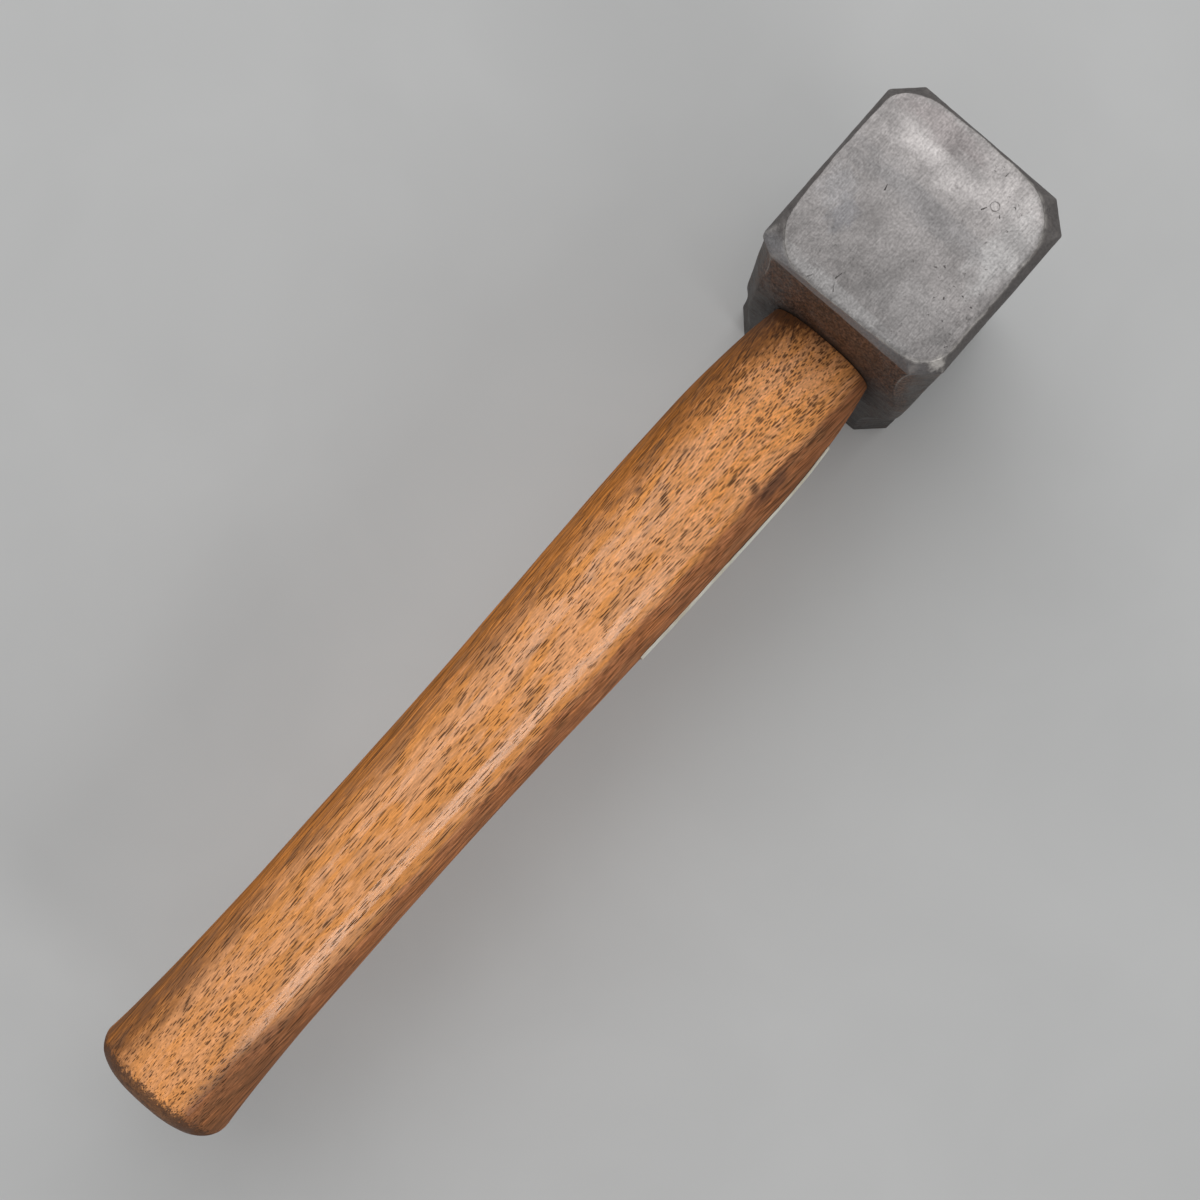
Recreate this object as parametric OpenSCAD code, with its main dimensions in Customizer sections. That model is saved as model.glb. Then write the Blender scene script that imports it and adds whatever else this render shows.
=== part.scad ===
// Club hammer: a forged double-faced steel head hung on an oval wooden handle.
// The head stands on its lower striking face, whose centre is the origin. Z runs from that face
// to the upper one, and the handle runs towards -X. All sizes are in millimetres.

/* [Head] */
// Length of the head from one striking face to the other
head_length = 110; // [90:1:125]
// Thickness of the head across the handle, from cheek to cheek
head_across = 45.8; // [40:0.1:52]
// Thickness of the head along the handle
head_along = 46.6; // [40:0.1:54]
// Rounding of the head's four long edges
long_edge_radius = 2.4; // [0.8:0.1:3.5]

/* [Corner scoops] */
// Width that a scoop takes off each side where it is deepest
scoop_cut = 5.4; // [3:0.1:7]
// Distance from a striking face to the deepest place of its scoops
scoop_setback = 15; // [6:0.5:20]
// Length of the unscooped edge left at the middle of the head
waist_land = 10; // [6:1:24]

/* [Striking faces] */
// Width of the ground bevel round a striking face
face_inset = 1.4; // [0.5:0.1:2.5]
// Depth of that bevel
face_bevel_depth = 2.8; // [1:0.1:4]
// Corner radius of the flat of a striking face
face_corner_radius = 9; // [4:0.5:12]

/* [Eye] */
// Height of the eye at its narrowest place, in the middle of the head
eye_height = 33; // [28:0.5:38]
// Width of the eye at its narrowest place
eye_width = 21; // [18:0.5:24]
// Widening of the eye on each side, from its middle to each mouth
eye_flare = 1.2; // [0.4:0.1:2]
// Clearance between the wood, the wedges and the eye
fit_gap = 0.08; // [0.03:0.01:0.2]

/* [Handle] */
// Length of the handle that stands out of the head
handle_reach = 220.5; // [200:0.5:300]
// Width of the bearing lip where the handle meets the head
bearing_lip = 1.5; // [0.3:0.1:2.5]
// Distance from the head to the widest place behind it
shoulder_from_head = 38; // [25:1:60]
// How fast the handle swells from the head to that place, where 2 is a parabola
shoulder_swell = 2.6; // [2:0.1:4]
// Width of the handle at the shoulder
shoulder_width = 32.8; // [28:0.1:38]
// Height of the handle at the shoulder
shoulder_height = 39; // [34:0.1:46]
// Distance from the head to the slimmest place of the grip
grip_from_head = 134; // [110:1:170]
// Width of the handle at the slimmest place
grip_width = 29.6; // [25:0.1:34]
// Height of the handle at the slimmest place
grip_height = 34.5; // [30:0.1:42]
// Width of the handle at the butt
butt_width = 33.3; // [28:0.1:38]
// Height of the handle at the butt
butt_height = 39.2; // [33:0.1:46]
// How late the handle flares towards the butt, where 2 is a parabola
butt_flare = 4.5; // [2:0.1:6]
// Length of the domed end of the butt
butt_dome = 6.6; // [3:0.1:10]
// Flatness of that dome, where 2 is a plain ellipse
butt_flatness = 3.2; // [2:0.1:4]
// Sideways angle at which the handle hangs in the head, in degrees
hang_angle = 0.85; // [0:0.05:2]
// Fullness of the handle's oval section behind the shoulder, where 2 is an ellipse
oval_power = 2.5; // [2:0.05:3]
// Fullness of the section where the handle meets the head, where 2 has half-round ends
neck_power = 2.25; // [2:0.05:3]
// Length of wood that stands proud of the eye at the far side of the head
tongue_proud = 1.2; // [0.5:0.1:4]

/* [Wooden wedge] */
// Depth to which the wooden wedge is driven
wood_wedge_depth = 32; // [20:1:38]
// Thickness of the wooden wedge at its head
wood_wedge_head = 5; // [3:0.1:7]
// Thickness of the wooden wedge at its tip
wood_wedge_tip = 1.2; // [0.8:0.1:2]
// Length of open saw kerf left beyond the wedge's tip
kerf_run_out = 3; // [1:0.5:6]

/* [Steel wedges] */
// Depth to which each steel wedge is driven
steel_wedge_depth = 22; // [14:1:26]
// Thickness of a steel wedge at its head
steel_wedge_head = 2.8; // [2:0.1:4]
// Thickness of a steel wedge at its tip
steel_wedge_tip = 0.6; // [0.4:0.1:1]
// Wood left between each edge of a steel wedge and the wall of the eye
steel_wedge_side_room = 2.8; // [2:0.1:5]
// Angle between a steel wedge and square across the eye, in degrees
steel_wedge_skew = 20; // [0:1:25]
// Depth of a steel wedge's head below the end of the wood
steel_wedge_sink = 0.3; // [0:0.1:1]
// Number of barbs on each flank of a steel wedge
barb_count = 5; // [3:1:7]
// Height of a barb
barb_height = 0.25; // [0.1:0.05:0.4]

/* [Paper label] */
// Length of the label along the handle
label_length = 62; // [30:1:80]
// Width of the label round the handle's side
label_width = 20; // [10:1:22]
// Distance from the head to the label's nearer end
label_from_head = 15; // [12:1:60]
// Height of the label's middle above the handle's middle
label_rise = -4; // [-5:0.5:4]
// Thickness of the paper
label_thickness = 0.25; // [0.15:0.05:0.4]
// Thickness of the glue under the paper
glue_gap = 0.12; // [0.1:0.02:0.3]

/* [Hidden] */
$fn = 96;
past = 1;                 // how far a cutting shape runs past what it cuts
section_sides = 56;       // sides of the handle's section
neck_rings = 14;          // rings of the handle from the head to the shoulder
grip_rings = 12;          // rings from the shoulder to the slimmest place
flare_rings = 10;         // rings from there to the start of the dome
dome_rings = 7;           // rings of the dome
tongue_root = 14;         // length of the tongue's own shape inside the handle
label_columns = 31;
label_rows = 12;

head_side = head_along / 2;
eye_z = head_length / 2;
eye_radius = eye_width / 2;
mouth_radius = eye_radius + eye_flare;
eye_centres = (eye_height - eye_width) / 2;
entry_width = 2 * (mouth_radius + bearing_lip);
entry_height = 2 * (eye_centres + mouth_radius + bearing_lip);
dome_start = handle_reach - butt_dome;
wood_end = head_side + tongue_proud;
steel_wedge_width = eye_width - 2 * steel_wedge_side_room;

// Round-cornered block with its long edges along Z
module rounded_block(x, y, z, r) {
    linear_extrude(height = z) {
        square([x - 2 * r, y], center = true);
        square([x, y - 2 * r], center = true);
        for (sx = [-1, 1], sy = [-1, 1])
            translate([sx * (x / 2 - r), sy * (y / 2 - r)])
                circle(r = r);
    }
}

// Wheel-shaped cutters that scoop the four corners towards the face at z = 0
module corner_scoops() {
    depth = scoop_cut / sqrt(2);
    run = head_length / 2 - waist_land / 2 - scoop_setback;
    wheel = (run * run + depth * depth) / (2 * depth);
    corner = norm([head_along, head_across]) / 2;
    for (sx = [-1, 1], sy = [-1, 1])
        translate([sx * head_along / 2, sy * head_across / 2, scoop_setback])
            rotate([0, 0, atan2(sy, sx)])
                translate([wheel - depth, 0, 0])
                    rotate([90, 0, 0])
                        cylinder(r = wheel, h = corner, center = true, $fn = 360);
}

// Body that grows from the flat of a striking face at z = 0: it trims the block to the ground bevel
module face_envelope() {
    flat_x = head_along / 2 - face_inset;
    flat_y = head_across / 2 - face_inset;
    growth = face_inset / face_bevel_depth * head_length;
    for (sx = [-1, 1], sy = [-1, 1])
        translate([sx * (flat_x - face_corner_radius), sy * (flat_y - face_corner_radius), 0])
            cylinder(r1 = face_corner_radius, r2 = face_corner_radius + growth, h = head_length);
    envelope_slab(flat_x, flat_y - face_corner_radius, growth);
    rotate([0, 0, 90])
        envelope_slab(flat_y, flat_x - face_corner_radius, growth);
}

module envelope_slab(half_flat, half_run, growth) {
    rotate([90, 0, 0])
        linear_extrude(height = 2 * half_run, center = true)
            polygon([
                [-half_flat, 0],
                [half_flat, 0],
                [half_flat + growth, head_length],
                [-half_flat - growth, head_length]
            ]);
}

// The waisted oval of the eye, from its middle out to both ends, larger all round by grow
module eye_form(near_end, far_end, grow) {
    eye_half(far_end, grow);
    mirror([1, 0, 0])
        eye_half(near_end, grow);
}

module eye_half(reach, grow) {
    start = eye_radius + grow;
    finish = start + eye_flare * reach / head_side;
    for (side = [-1, 1])
        translate([0, 0, eye_z + side * eye_centres])
            rotate([0, 90, 0])
                cylinder(r1 = start, r2 = finish, h = reach);
    translate([0, 0, eye_z])
        linear_extrude(height = 2 * eye_centres, center = true)
            polygon([[0, -start], [reach, -finish], [reach, finish], [0, start]]);
}

module head() {
    color([0.42, 0.40, 0.39])
        difference() {
            intersection() {
                rounded_block(head_along, head_across, head_length, long_edge_radius);
                face_envelope();
                translate([0, 0, head_length])
                    mirror([0, 0, 1])
                        face_envelope();
            }
            corner_scoops();
            translate([0, 0, head_length])
                mirror([0, 0, 1])
                    corner_scoops();
            eye_form(head_side + past, head_side + past, 0);
        }
}

// How far the handle has turned from the eye's section at 0 to its own full oval at 1
function swell(d) = d >= shoulder_from_head ? 1 : 1 - pow(1 - d / shoulder_from_head, shoulder_swell);

// Half-size of the handle at a distance from the head: a swell out to the shoulder, a cosine down
// to the grip, a late flare out to the butt and a flattened dome over its end
function half_size(d, entry, shoulder, grip, butt) =
    (d <= shoulder_from_head ? entry + (shoulder - entry) * swell(d)
    : d <= grip_from_head ? grip + (shoulder - grip) * half_cosine(part_way(d, shoulder_from_head, grip_from_head))
    : d <= dome_start ? grip + (butt - grip) * pow(part_way(d, grip_from_head, dome_start), butt_flare)
    : butt * dome_height(handle_reach - d)) / 2;
function part_way(d, from, to) = (d - from) / (to - from);
function half_cosine(u) = (1 + cos(180 * u)) / 2;
function dome_height(left) = pow(1 - pow(1 - left / butt_dome, 2), 1 / butt_flatness);

function half_width(d) = half_size(d, entry_width, shoulder_width, grip_width, butt_width);
function half_height(d) = half_size(d, entry_height, shoulder_height, grip_height, butt_height);
function drift(d) = d * tan(hang_angle);

// The section has straight flanks, half this high, that shorten from the eye's to none
function half_flank(d) = eye_centres * (1 - swell(d));
function section_power(d) = neck_power + (oval_power - neck_power) * swell(d);

// Distances of the handle's rings, closer together where its outline turns fast
ring_distances = concat(
    [for (i = [0:neck_rings]) shoulder_from_head * (1 - cos(90 * i / neck_rings))],
    [for (i = [1:grip_rings]) shoulder_from_head + (grip_from_head - shoulder_from_head) * i / grip_rings],
    [for (i = [1:flare_rings]) grip_from_head + (dome_start - grip_from_head) * i / flare_rings],
    [for (i = [1:dome_rings]) dome_start + butt_dome * sin(84 * i / dome_rings)]
);

function section_point(d, angle) = [
    half_width(d) * signed_power(cos(angle), 2 / section_power(d)),
    half_flank(d) * sign(sin(angle))
        + (half_height(d) - half_flank(d)) * signed_power(sin(angle), 2 / section_power(d))
];
function signed_power(value, power) = sign(value) * pow(abs(value), power);

function ring_points(d) = [
    for (i = [0:section_sides - 1])
        let (p = section_point(d, 360 * (i + 0.5) / section_sides))
            [-head_side - fit_gap - d, drift(d) + p.x, eye_z + p.y]
];

module handle_body() {
    rings = len(ring_distances);
    n = section_sides;
    points = [for (d = ring_distances) each ring_points(d)];
    skin = [
        for (r = [0:rings - 2], i = [0:n - 1])
            let (j = (i + 1) % n)
                each [
                    [r * n + i, (r + 1) * n + j, (r + 1) * n + i],
                    [r * n + i, r * n + j, (r + 1) * n + j]
                ]
    ];
    head_cap = [for (i = [n - 1:-1:0]) i];
    butt_cap = [for (i = [0:n - 1]) (rings - 1) * n + i];
    polyhedron(points = points, faces = concat([head_cap], skin, [butt_cap]), convexity = 4);
}

// Wedge-shaped slab of a height, driven in -X from the end of the wood
module wedge_slab(depth, head, tip, height, grow) {
    translate([wood_end, 0, 0])
        linear_extrude(height = height, center = true)
            polygon([
                [past, -head / 2 - grow],
                [0, -head / 2 - grow],
                [-depth - grow, -tip / 2 - grow],
                [-depth - grow, tip / 2 + grow],
                [0, head / 2 + grow],
                [past, head / 2 + grow]
            ]);
}

module wooden_wedge_room(grow) {
    translate([0, 0, eye_z])
        wedge_slab(wood_wedge_depth, wood_wedge_head, wood_wedge_tip, head_length, grow);
}

// Places one shape at each steel wedge, with its width along Z before it is turned
module at_steel_wedges() {
    for (side = [-1, 1])
        translate([0, 0, eye_z + side * eye_centres])
            rotate([90 + steel_wedge_skew, 0, 0])
                children();
}

// One barbed flank of a steel wedge, from its head towards its tip
function flank(side) = [
    for (i = [0:barb_count - 1])
        each [
            [-steel_wedge_depth * i / barb_count, side * flank_half(i)],
            [-steel_wedge_depth * (i + 0.9) / barb_count, side * (flank_half(i + 0.9) - barb_height)]
        ]
];
function flank_half(step) =
    (steel_wedge_head + (steel_wedge_tip - steel_wedge_head) * step / barb_count) / 2 + barb_height;

module steel_wedge() {
    upper = flank(1);
    lower = flank(-1);
    translate([wood_end - steel_wedge_sink, 0, 0])
        linear_extrude(height = steel_wedge_width, center = true)
            polygon(concat(
                upper,
                [[-steel_wedge_depth, steel_wedge_tip / 2], [-steel_wedge_depth, -steel_wedge_tip / 2]],
                [for (i = [len(lower) - 1:-1:0]) lower[i]]
            ));
}

module steel_wedge_room() {
    wedge_slab(
        steel_wedge_depth + steel_wedge_sink,
        steel_wedge_head + 2 * barb_height,
        steel_wedge_tip + 2 * barb_height,
        steel_wedge_width + 2 * fit_gap,
        fit_gap
    );
}

module handle() {
    color([0.72, 0.45, 0.22])
        difference() {
            union() {
                handle_body();
                eye_form(head_side + tongue_root, wood_end, -fit_gap);
            }
            wooden_wedge_room(fit_gap);
            saw_kerf();
            at_steel_wedges()
                steel_wedge_room();
        }
}

// The saw cut that the wooden wedge opens, left empty beyond the wedge's tip
module saw_kerf() {
    length = wood_wedge_depth + kerf_run_out;
    translate([wood_end - length / 2, 0, eye_z])
        cube([length, wood_wedge_tip + 2 * fit_gap, head_length], center = true);
}

module wooden_wedge() {
    color([0.80, 0.66, 0.45])
        difference() {
            intersection() {
                eye_form(head_side, wood_end, -fit_gap);
                wooden_wedge_room(0);
            }
            at_steel_wedges()
                steel_wedge_room();
        }
}

module steel_wedges() {
    color([0.50, 0.50, 0.51])
        at_steel_wedges()
            steel_wedge();
}

// Half-width of the handle at a height above its middle
function half_width_at(d, rise) =
    let (share = max(abs(rise) - half_flank(d), 0) / (half_height(d) - half_flank(d)))
        half_width(d) * pow(1 - pow(share, section_power(d)), 1 / section_power(d));

// A point of the label at a distance from the head and a height, lifted off the wood
function label_point(d, rise, lift) =
    [-head_side - fit_gap - d, drift(d) - half_width_at(d, rise) - lift, eye_z + rise];

module paper_label() {
    rows = label_rows + 1;
    sheet = (label_columns + 1) * rows;
    points = [
        for (lift = [glue_gap, glue_gap + label_thickness], c = [0:label_columns], r = [0:label_rows])
            label_point(
                label_from_head + label_length * c / label_columns,
                label_rise + label_width * (r / label_rows - 0.5),
                lift
            )
    ];
    inner = [
        for (c = [0:label_columns - 1], r = [0:label_rows - 1])
            let (p = c * rows + r)
                each [[p, p + rows + 1, p + rows], [p, p + 1, p + rows + 1]]
    ];
    outer = [for (f = inner) [sheet + f[0], sheet + f[2], sheet + f[1]]];
    long_edges = [
        for (c = [0:label_columns - 1])
            let (low = c * rows, high = c * rows + label_rows)
                each [
                    [low, low + rows, sheet + low],
                    [low + rows, sheet + low + rows, sheet + low],
                    [high, sheet + high, high + rows],
                    [high + rows, sheet + high, sheet + high + rows]
                ]
    ];
    short_edges = [
        for (r = [0:label_rows - 1])
            let (near = r, far = label_columns * rows + r)
                each [
                    [near, sheet + near, near + 1],
                    [near + 1, sheet + near, sheet + near + 1],
                    [far, far + 1, sheet + far],
                    [far + 1, sheet + far + 1, sheet + far]
                ]
    ];
    color([0.88, 0.87, 0.78])
        polyhedron(points = points, faces = concat(inner, outer, long_edges, short_edges), convexity = 4);
}

head();
handle();
wooden_wedge();
steel_wedges();
paper_label();
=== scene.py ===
import math

import bmesh
import bpy
from bpy.props import FloatProperty, FloatVectorProperty, PointerProperty
from mathutils import Euler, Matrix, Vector, noise


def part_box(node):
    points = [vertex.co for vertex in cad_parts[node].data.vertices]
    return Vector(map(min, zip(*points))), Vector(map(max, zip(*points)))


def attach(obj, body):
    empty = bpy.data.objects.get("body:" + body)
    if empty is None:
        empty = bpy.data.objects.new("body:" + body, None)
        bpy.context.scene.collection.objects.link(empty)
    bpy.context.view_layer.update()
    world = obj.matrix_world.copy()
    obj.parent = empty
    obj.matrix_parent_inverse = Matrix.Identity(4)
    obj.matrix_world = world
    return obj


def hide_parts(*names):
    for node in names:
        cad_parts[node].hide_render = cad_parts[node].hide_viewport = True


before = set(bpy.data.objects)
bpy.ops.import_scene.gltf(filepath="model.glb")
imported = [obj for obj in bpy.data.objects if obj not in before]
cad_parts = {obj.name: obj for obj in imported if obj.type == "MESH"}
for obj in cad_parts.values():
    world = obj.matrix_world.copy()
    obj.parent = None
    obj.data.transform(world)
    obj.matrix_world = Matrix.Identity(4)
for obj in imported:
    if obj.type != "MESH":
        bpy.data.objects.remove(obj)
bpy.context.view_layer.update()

bl_info = {
    "name": "Club Hammer",
    "version": (1, 0, 0),
    "blender": (4, 5, 0),
    "location": "View3D > Sidebar > Club Hammer",
    "description": "Builds a worn club hammer: forged head, wooden handle, wedges and paper label",
    "category": "Add Mesh",
}

BODY = "root"
MM = 0.001
# Points closer than this are one point
SAME_POINT = 0.0001 * MM
HANDLE_LOW, HANDLE_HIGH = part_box("handle")
LABEL_LOW, LABEL_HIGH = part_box("paper_label")
HALF_ALONG, HALF_ACROSS, HEAD_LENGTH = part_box("head")[1]
EYE_Z = HEAD_LENGTH / 2
WOOD_END = HANDLE_HIGH.x


def length(name, description, millimetres):
    """A size, written in millimetres."""
    return FloatProperty(
        name=name, description=description, default=millimetres * MM, unit="LENGTH", precision=5
    )


def number(name, description, default):
    """A plain number."""
    return FloatProperty(name=name, description=description, default=default, precision=3)


def angle(name, description, degrees):
    """An angle, written in degrees."""
    return FloatProperty(name=name, description=description, default=math.radians(degrees), subtype="ANGLE")


def colour(name, description, default):
    """A colour, written in linear values."""
    return FloatVectorProperty(
        name=name, description=description, default=default, subtype="COLOR", size=3, min=0.0, max=1.0
    )


class HeadSizes(bpy.types.PropertyGroup):
    """Sizes of the forged head."""

    scoop_cut: length("Scoop cut", "What a corner scoop takes off each side where it is deepest", 5.4)
    scoop_setback: length("Scoop setback", "From a striking face to the deepest place of its scoops", 15)
    waist_land: length("Waist land", "Unscooped edge left at the middle of the head", 10)
    crease: length("Crease", "Worn width on each side of a scoop's edge", 0.35)
    bevel_depth: length("Bevel depth", "Depth of the ground bevel round a striking face", 3.1)
    bevel_round: number("Bevel rounding", "How round the ground bevel is, where 1 is flat", 1.35)
    face_bow: length("Face bow", "How far the sides of a striking face bow out", 0.35)
    face_crown: length("Face crown", "How far a striking face has worn down towards its rim", 0.12)
    face_wave: length("Face waves", "Height of the waves of a worn striking face", 0.02)
    rim_round: length("Rim rounding", "Depth of the worn rounding along the rim of a striking face", 0.14)
    rim_reach: length("Rim reach", "Width of that rounding", 0.9)
    rim_wave: length("Rim waves", "Unevenness of the rim of a striking face", 0.16)
    forge_wave: length("Forging waves", "Height of the waves that forging left on the sides", 0.14)
    eye_width: length("Eye width", "Width of the eye at its waist", 21)
    eye_height: length("Eye height", "Height of the eye at its waist", 33)
    eye_flare: length("Eye flare", "Widening of the eye on each side, from waist to mouth", 1.2)
    mouth_bevel: length("Mouth bevel", "Broken edge round each mouth of the eye", 0.35)


class HandleSizes(bpy.types.PropertyGroup):
    """Sizes of the wooden handle."""

    fit_gap: length("Fit gap", "Clearance between the wood, the wedges and the eye", 0.08)
    bearing_lip: length("Bearing lip", "Lip of wood that bears on the head", 1.5)
    shoulder_place: length("Shoulder place", "From the head to the widest place behind it", 38)
    shoulder_swell: number("Shoulder swell", "How fast the handle swells to its shoulder", 2.6)
    shoulder_width: length("Shoulder width", "Width at the shoulder", 32.8)
    shoulder_height: length("Shoulder height", "Height at the shoulder", 39)
    grip_place: length("Grip place", "From the head to the slimmest place", 134)
    grip_width: length("Grip width", "Width at the slimmest place", 29.6)
    grip_height: length("Grip height", "Height at the slimmest place", 34.5)
    butt_width: length("Butt width", "Width at the butt", 33.3)
    butt_height: length("Butt height", "Height at the butt", 39.2)
    butt_flare: number("Butt flare", "How late the handle flares to the butt, where 2 is a parabola", 4.5)
    butt_dome: length("Butt dome", "Length of the domed end", 6.6)
    butt_flatness: number("Butt flatness", "Flatness of the dome, where 2 is a plain ellipse", 3.2)
    butt_chip: length("Butt chips", "Roughness of the bare end of the butt", 0.10)
    hang: angle("Hang", "Sideways angle at which the handle hangs", 0.85)
    oval_power: number("Oval power", "Fullness of the oval, where 2 is an ellipse", 2.5)
    neck_power: number("Neck power", "Fullness of the section beside the head", 2.25)
    hand_wave: length("Hand waves", "Height of the waves that shaping by hand left", 0.16)
    pore_spacing: length("Pore spacing", "Mean distance between the wood's pores", 0.46)
    pore_radius: length("Pore radius", "Mean radius of a pore with its dark rim", 0.122)
    grain_slope: angle("Grain slope", "Angle between the grain and the handle's axis", 2.5)


class WedgeSizes(bpy.types.PropertyGroup):
    """Sizes of the wedges in the end of the tongue."""

    wood_depth: length("Wooden wedge depth", "Depth to which the wooden wedge is driven", 32)
    wood_head: length("Wooden wedge head", "Thickness of the wooden wedge at its head", 5)
    wood_tip: length("Wooden wedge tip", "Thickness of the wooden wedge at its tip", 1.2)
    kerf_run_out: length("Kerf run-out", "Open saw cut left beyond the wooden wedge's tip", 3)
    steel_depth: length("Steel wedge depth", "Depth to which a steel wedge is driven", 22.3)
    steel_head: length("Steel wedge head", "Thickness of a steel wedge at its head, over the barbs", 3.3)
    steel_tip: length("Steel wedge tip", "Thickness of a steel wedge at its tip, over the barbs", 1.1)
    side_room: length("Steel wedge side room", "Wood left beside a steel wedge", 2.8)
    steel_skew: angle("Steel wedge skew", "Angle between a steel wedge and square across the eye", 20)


class LabelSizes(bpy.types.PropertyGroup):
    """Sizes of the blank paper label."""

    thickness: length("Thickness", "Thickness of the paper", 0.22)
    glue_gap: length("Glue gap", "Thickness of the glue under the paper", 0.03)
    bulge: length("Bulge", "How far the paper's middle stands off the wood", 0.2)
    curl: length("Curl", "How far the upper edge has lifted", 0.08)
    tear: length("Tear", "Unevenness of the torn edges", 0.5)
    wrinkle: length("Wrinkles", "Height of the paper's wrinkles", 0.04)


class Colours(bpy.types.PropertyGroup):
    """Colours of wood, steel, paper and floor."""

    wood_light: colour("Light wood", "Salmon tan of the wood's upper side", (0.88, 0.395, 0.158))
    wood_orange: colour("Orange wood", "Orange streaks under the varnish", (0.82, 0.322, 0.076))
    # The two flank colours are partly the wood's own browner sides and partly painted shade of flanks turned
    # away from the lamps
    wood_upper_flank_shaded: colour("Upper flank", "Orange brown of the flank towards +Y", (0.52, 0.178, 0.028))
    wood_lower_flank_shaded: colour("Lower flank", "Red brown of the flank over the label", (0.42, 0.152, 0.062))
    wood_haze: colour("Wood haze", "Grey-brown dirt round the pores", (0.34, 0.17, 0.08))
    wood_palm: colour("Palm dirt", "What hands left on the flanks beside the butt", (0.200, 0.088, 0.040))
    wood_pore: colour("Pores", "Dirt in the open pores", (0.060, 0.026, 0.012))
    wood_spot: colour("Wood spots", "Large dark spots", (0.060, 0.034, 0.028))
    wood_stain: colour("Wood stain", "Dark stain beside the head", (0.12, 0.045, 0.016))
    wood_butt: colour("Butt ring", "Bare dirty end grain round the butt", (0.125, 0.062, 0.036))
    end_light: colour("Light end grain", "Early wood on the sawn end of the tongue", (0.30, 0.150, 0.066))
    end_dark: colour("Dark end grain", "Late wood on the sawn end of the tongue", (0.125, 0.058, 0.028))
    end_dirt: colour("End grain dirt", "Dirt in the pores of the sawn end", (0.07, 0.034, 0.02))
    steel_ground: colour("Ground steel", "Ground striking faces", (0.237, 0.224, 0.220))
    steel_bevel: colour("Bevel", "Ground bevel beside the handle", (0.250, 0.244, 0.250))
    steel_bevel_dark: colour("Dark bevel", "Ground bevel on the other sides", (0.125, 0.115, 0.112))
    steel_forged: colour("Forged steel", "Grey-brown skin of the sides", (0.092, 0.080, 0.074))
    steel_brown: colour("Brown steel", "Brown patches of that skin", (0.100, 0.068, 0.052))
    steel_rust: colour("Rust", "Brown patina beside the handle", (0.070, 0.036, 0.022))
    steel_freckle: colour("Rust freckles", "Pale specks of rust beside the handle", (0.16, 0.098, 0.066))
    # Grime is a painted contact shadow round the eye, where the handle enters the head
    steel_eye_shadow: colour("Grime", "Dark grime round the eye", (0.016, 0.009, 0.007))
    steel_mark: colour("Marks", "Pits and scratches of the upper striking face", (0.06, 0.052, 0.050))
    # Bright steel is partly polished wear and partly a painted highlight on the rim, creases and corner that
    # face the lamps
    steel_polish_and_glint: colour("Bright steel", "Edges that wear has polished", (0.58, 0.55, 0.52))
    wedge_wood: colour("Wedge wood", "Sawn wood of the wedge", (0.36, 0.21, 0.10))
    wedge_dirt: colour("Wedge dirt", "Dirt on the wooden wedge", (0.10, 0.060, 0.036))
    wedge_pore: colour("Wedge pores", "Dirt in the wooden wedge's pores", (0.06, 0.036, 0.024))
    wedge_steel: colour("Wedge steel", "Bare dull steel of the wedges", (0.19, 0.175, 0.165))
    wedge_freckle: colour("Wedge freckles", "Pale specks of rust on the steel wedges", (0.26, 0.15, 0.09))
    paper: colour("Paper", "Aged blank paper", (0.86, 0.86, 0.77))
    paper_aged: colour("Aged paper", "Yellowed clouds of the paper", (0.56, 0.47, 0.31))
    paper_worn: colour("Worn paper", "Brown fibres where the paper has worn", (0.40, 0.29, 0.17))
    paper_stain: colour("Paper stains", "Small round stains on the paper", (0.30, 0.19, 0.10))
    floor: colour("Floor", "Plain pale floor", (0.548, 0.553, 0.552))
    floor_far: colour("Far floor", "Floor where the lamps hardly reach", (0.88, 0.88, 0.88))


class StageSizes(bpy.types.PropertyGroup):
    """Where the camera stands and how strong the lamps are."""

    camera_place: FloatVectorProperty(
        name="Camera place",
        description="Camera above the hammer, over the handle's middle",
        default=(-0.11255, -0.01530, 0.59880),
        subtype="TRANSLATION",
    )
    camera_turn: FloatVectorProperty(
        name="Camera turn",
        description="Nearly straight down, rolled so that the handle runs to the lower left",
        default=(math.radians(2.368), math.radians(0.152), math.radians(-48.915)),
        subtype="EULER",
    )
    lens: number("Lens", "Focal length in millimetres on a sensor 36 mm wide", 73.79)
    floor_size: length("Floor size", "Width of the floor", 14000)
    world_light: number("World light", "Strength of the even light all round", 0.42)
    backdrop: number("Backdrop", "Strength of the even light where the camera sees it", 0.385)
    key_light: number("Key light", "Power in watts of the large lamp towards +X and +Y", 6.9)
    strip_light: number("Strip light", "Power in watts of the lamp that draws the gloss line", 2.7)


def mix(a, b, share):
    """The value at a share of the way from a to b."""
    return a + (b - a) * share


def smooth(low, high, value):
    """0 at low, 1 at high, and a smooth rise between them."""
    share = min(max((value - low) / (high - low), 0.0), 1.0)
    return share * share * (3 - 2 * share)


def rise(value, power):
    """A power that keeps the sign."""
    return math.copysign(abs(value) ** power, value)


def wave(point, millimetres, seed):
    """Smooth noise between about -1 and 1 whose lumps are of a size."""
    return noise.noise(Vector(point) / (millimetres * MM) + Vector((seed, seed * 1.7, seed * 0.3)))


def skin(rings, marks=None):
    """A closed skin through rings of points, with the named marks kept as attributes of its points."""
    rows = len(rings) - 1
    columns = len(rings[0])
    bm = bmesh.new()
    bmesh.ops.create_grid(bm, x_segments=columns, y_segments=rows, size=0.5)
    layers = {name: bm.verts.layers.float.new(name) for name in marks or {}}
    for vert in bm.verts:
        column = round((vert.co.x + 0.5) * columns) % columns
        row = round((vert.co.y + 0.5) * rows)
        vert.co = rings[row][column]
        for name, layer in layers.items():
            vert[layer] = marks[name](row, column)
    bmesh.ops.remove_doubles(bm, verts=bm.verts, dist=SAME_POINT)
    bmesh.ops.recalc_face_normals(bm, faces=bm.faces)
    return bm


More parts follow.
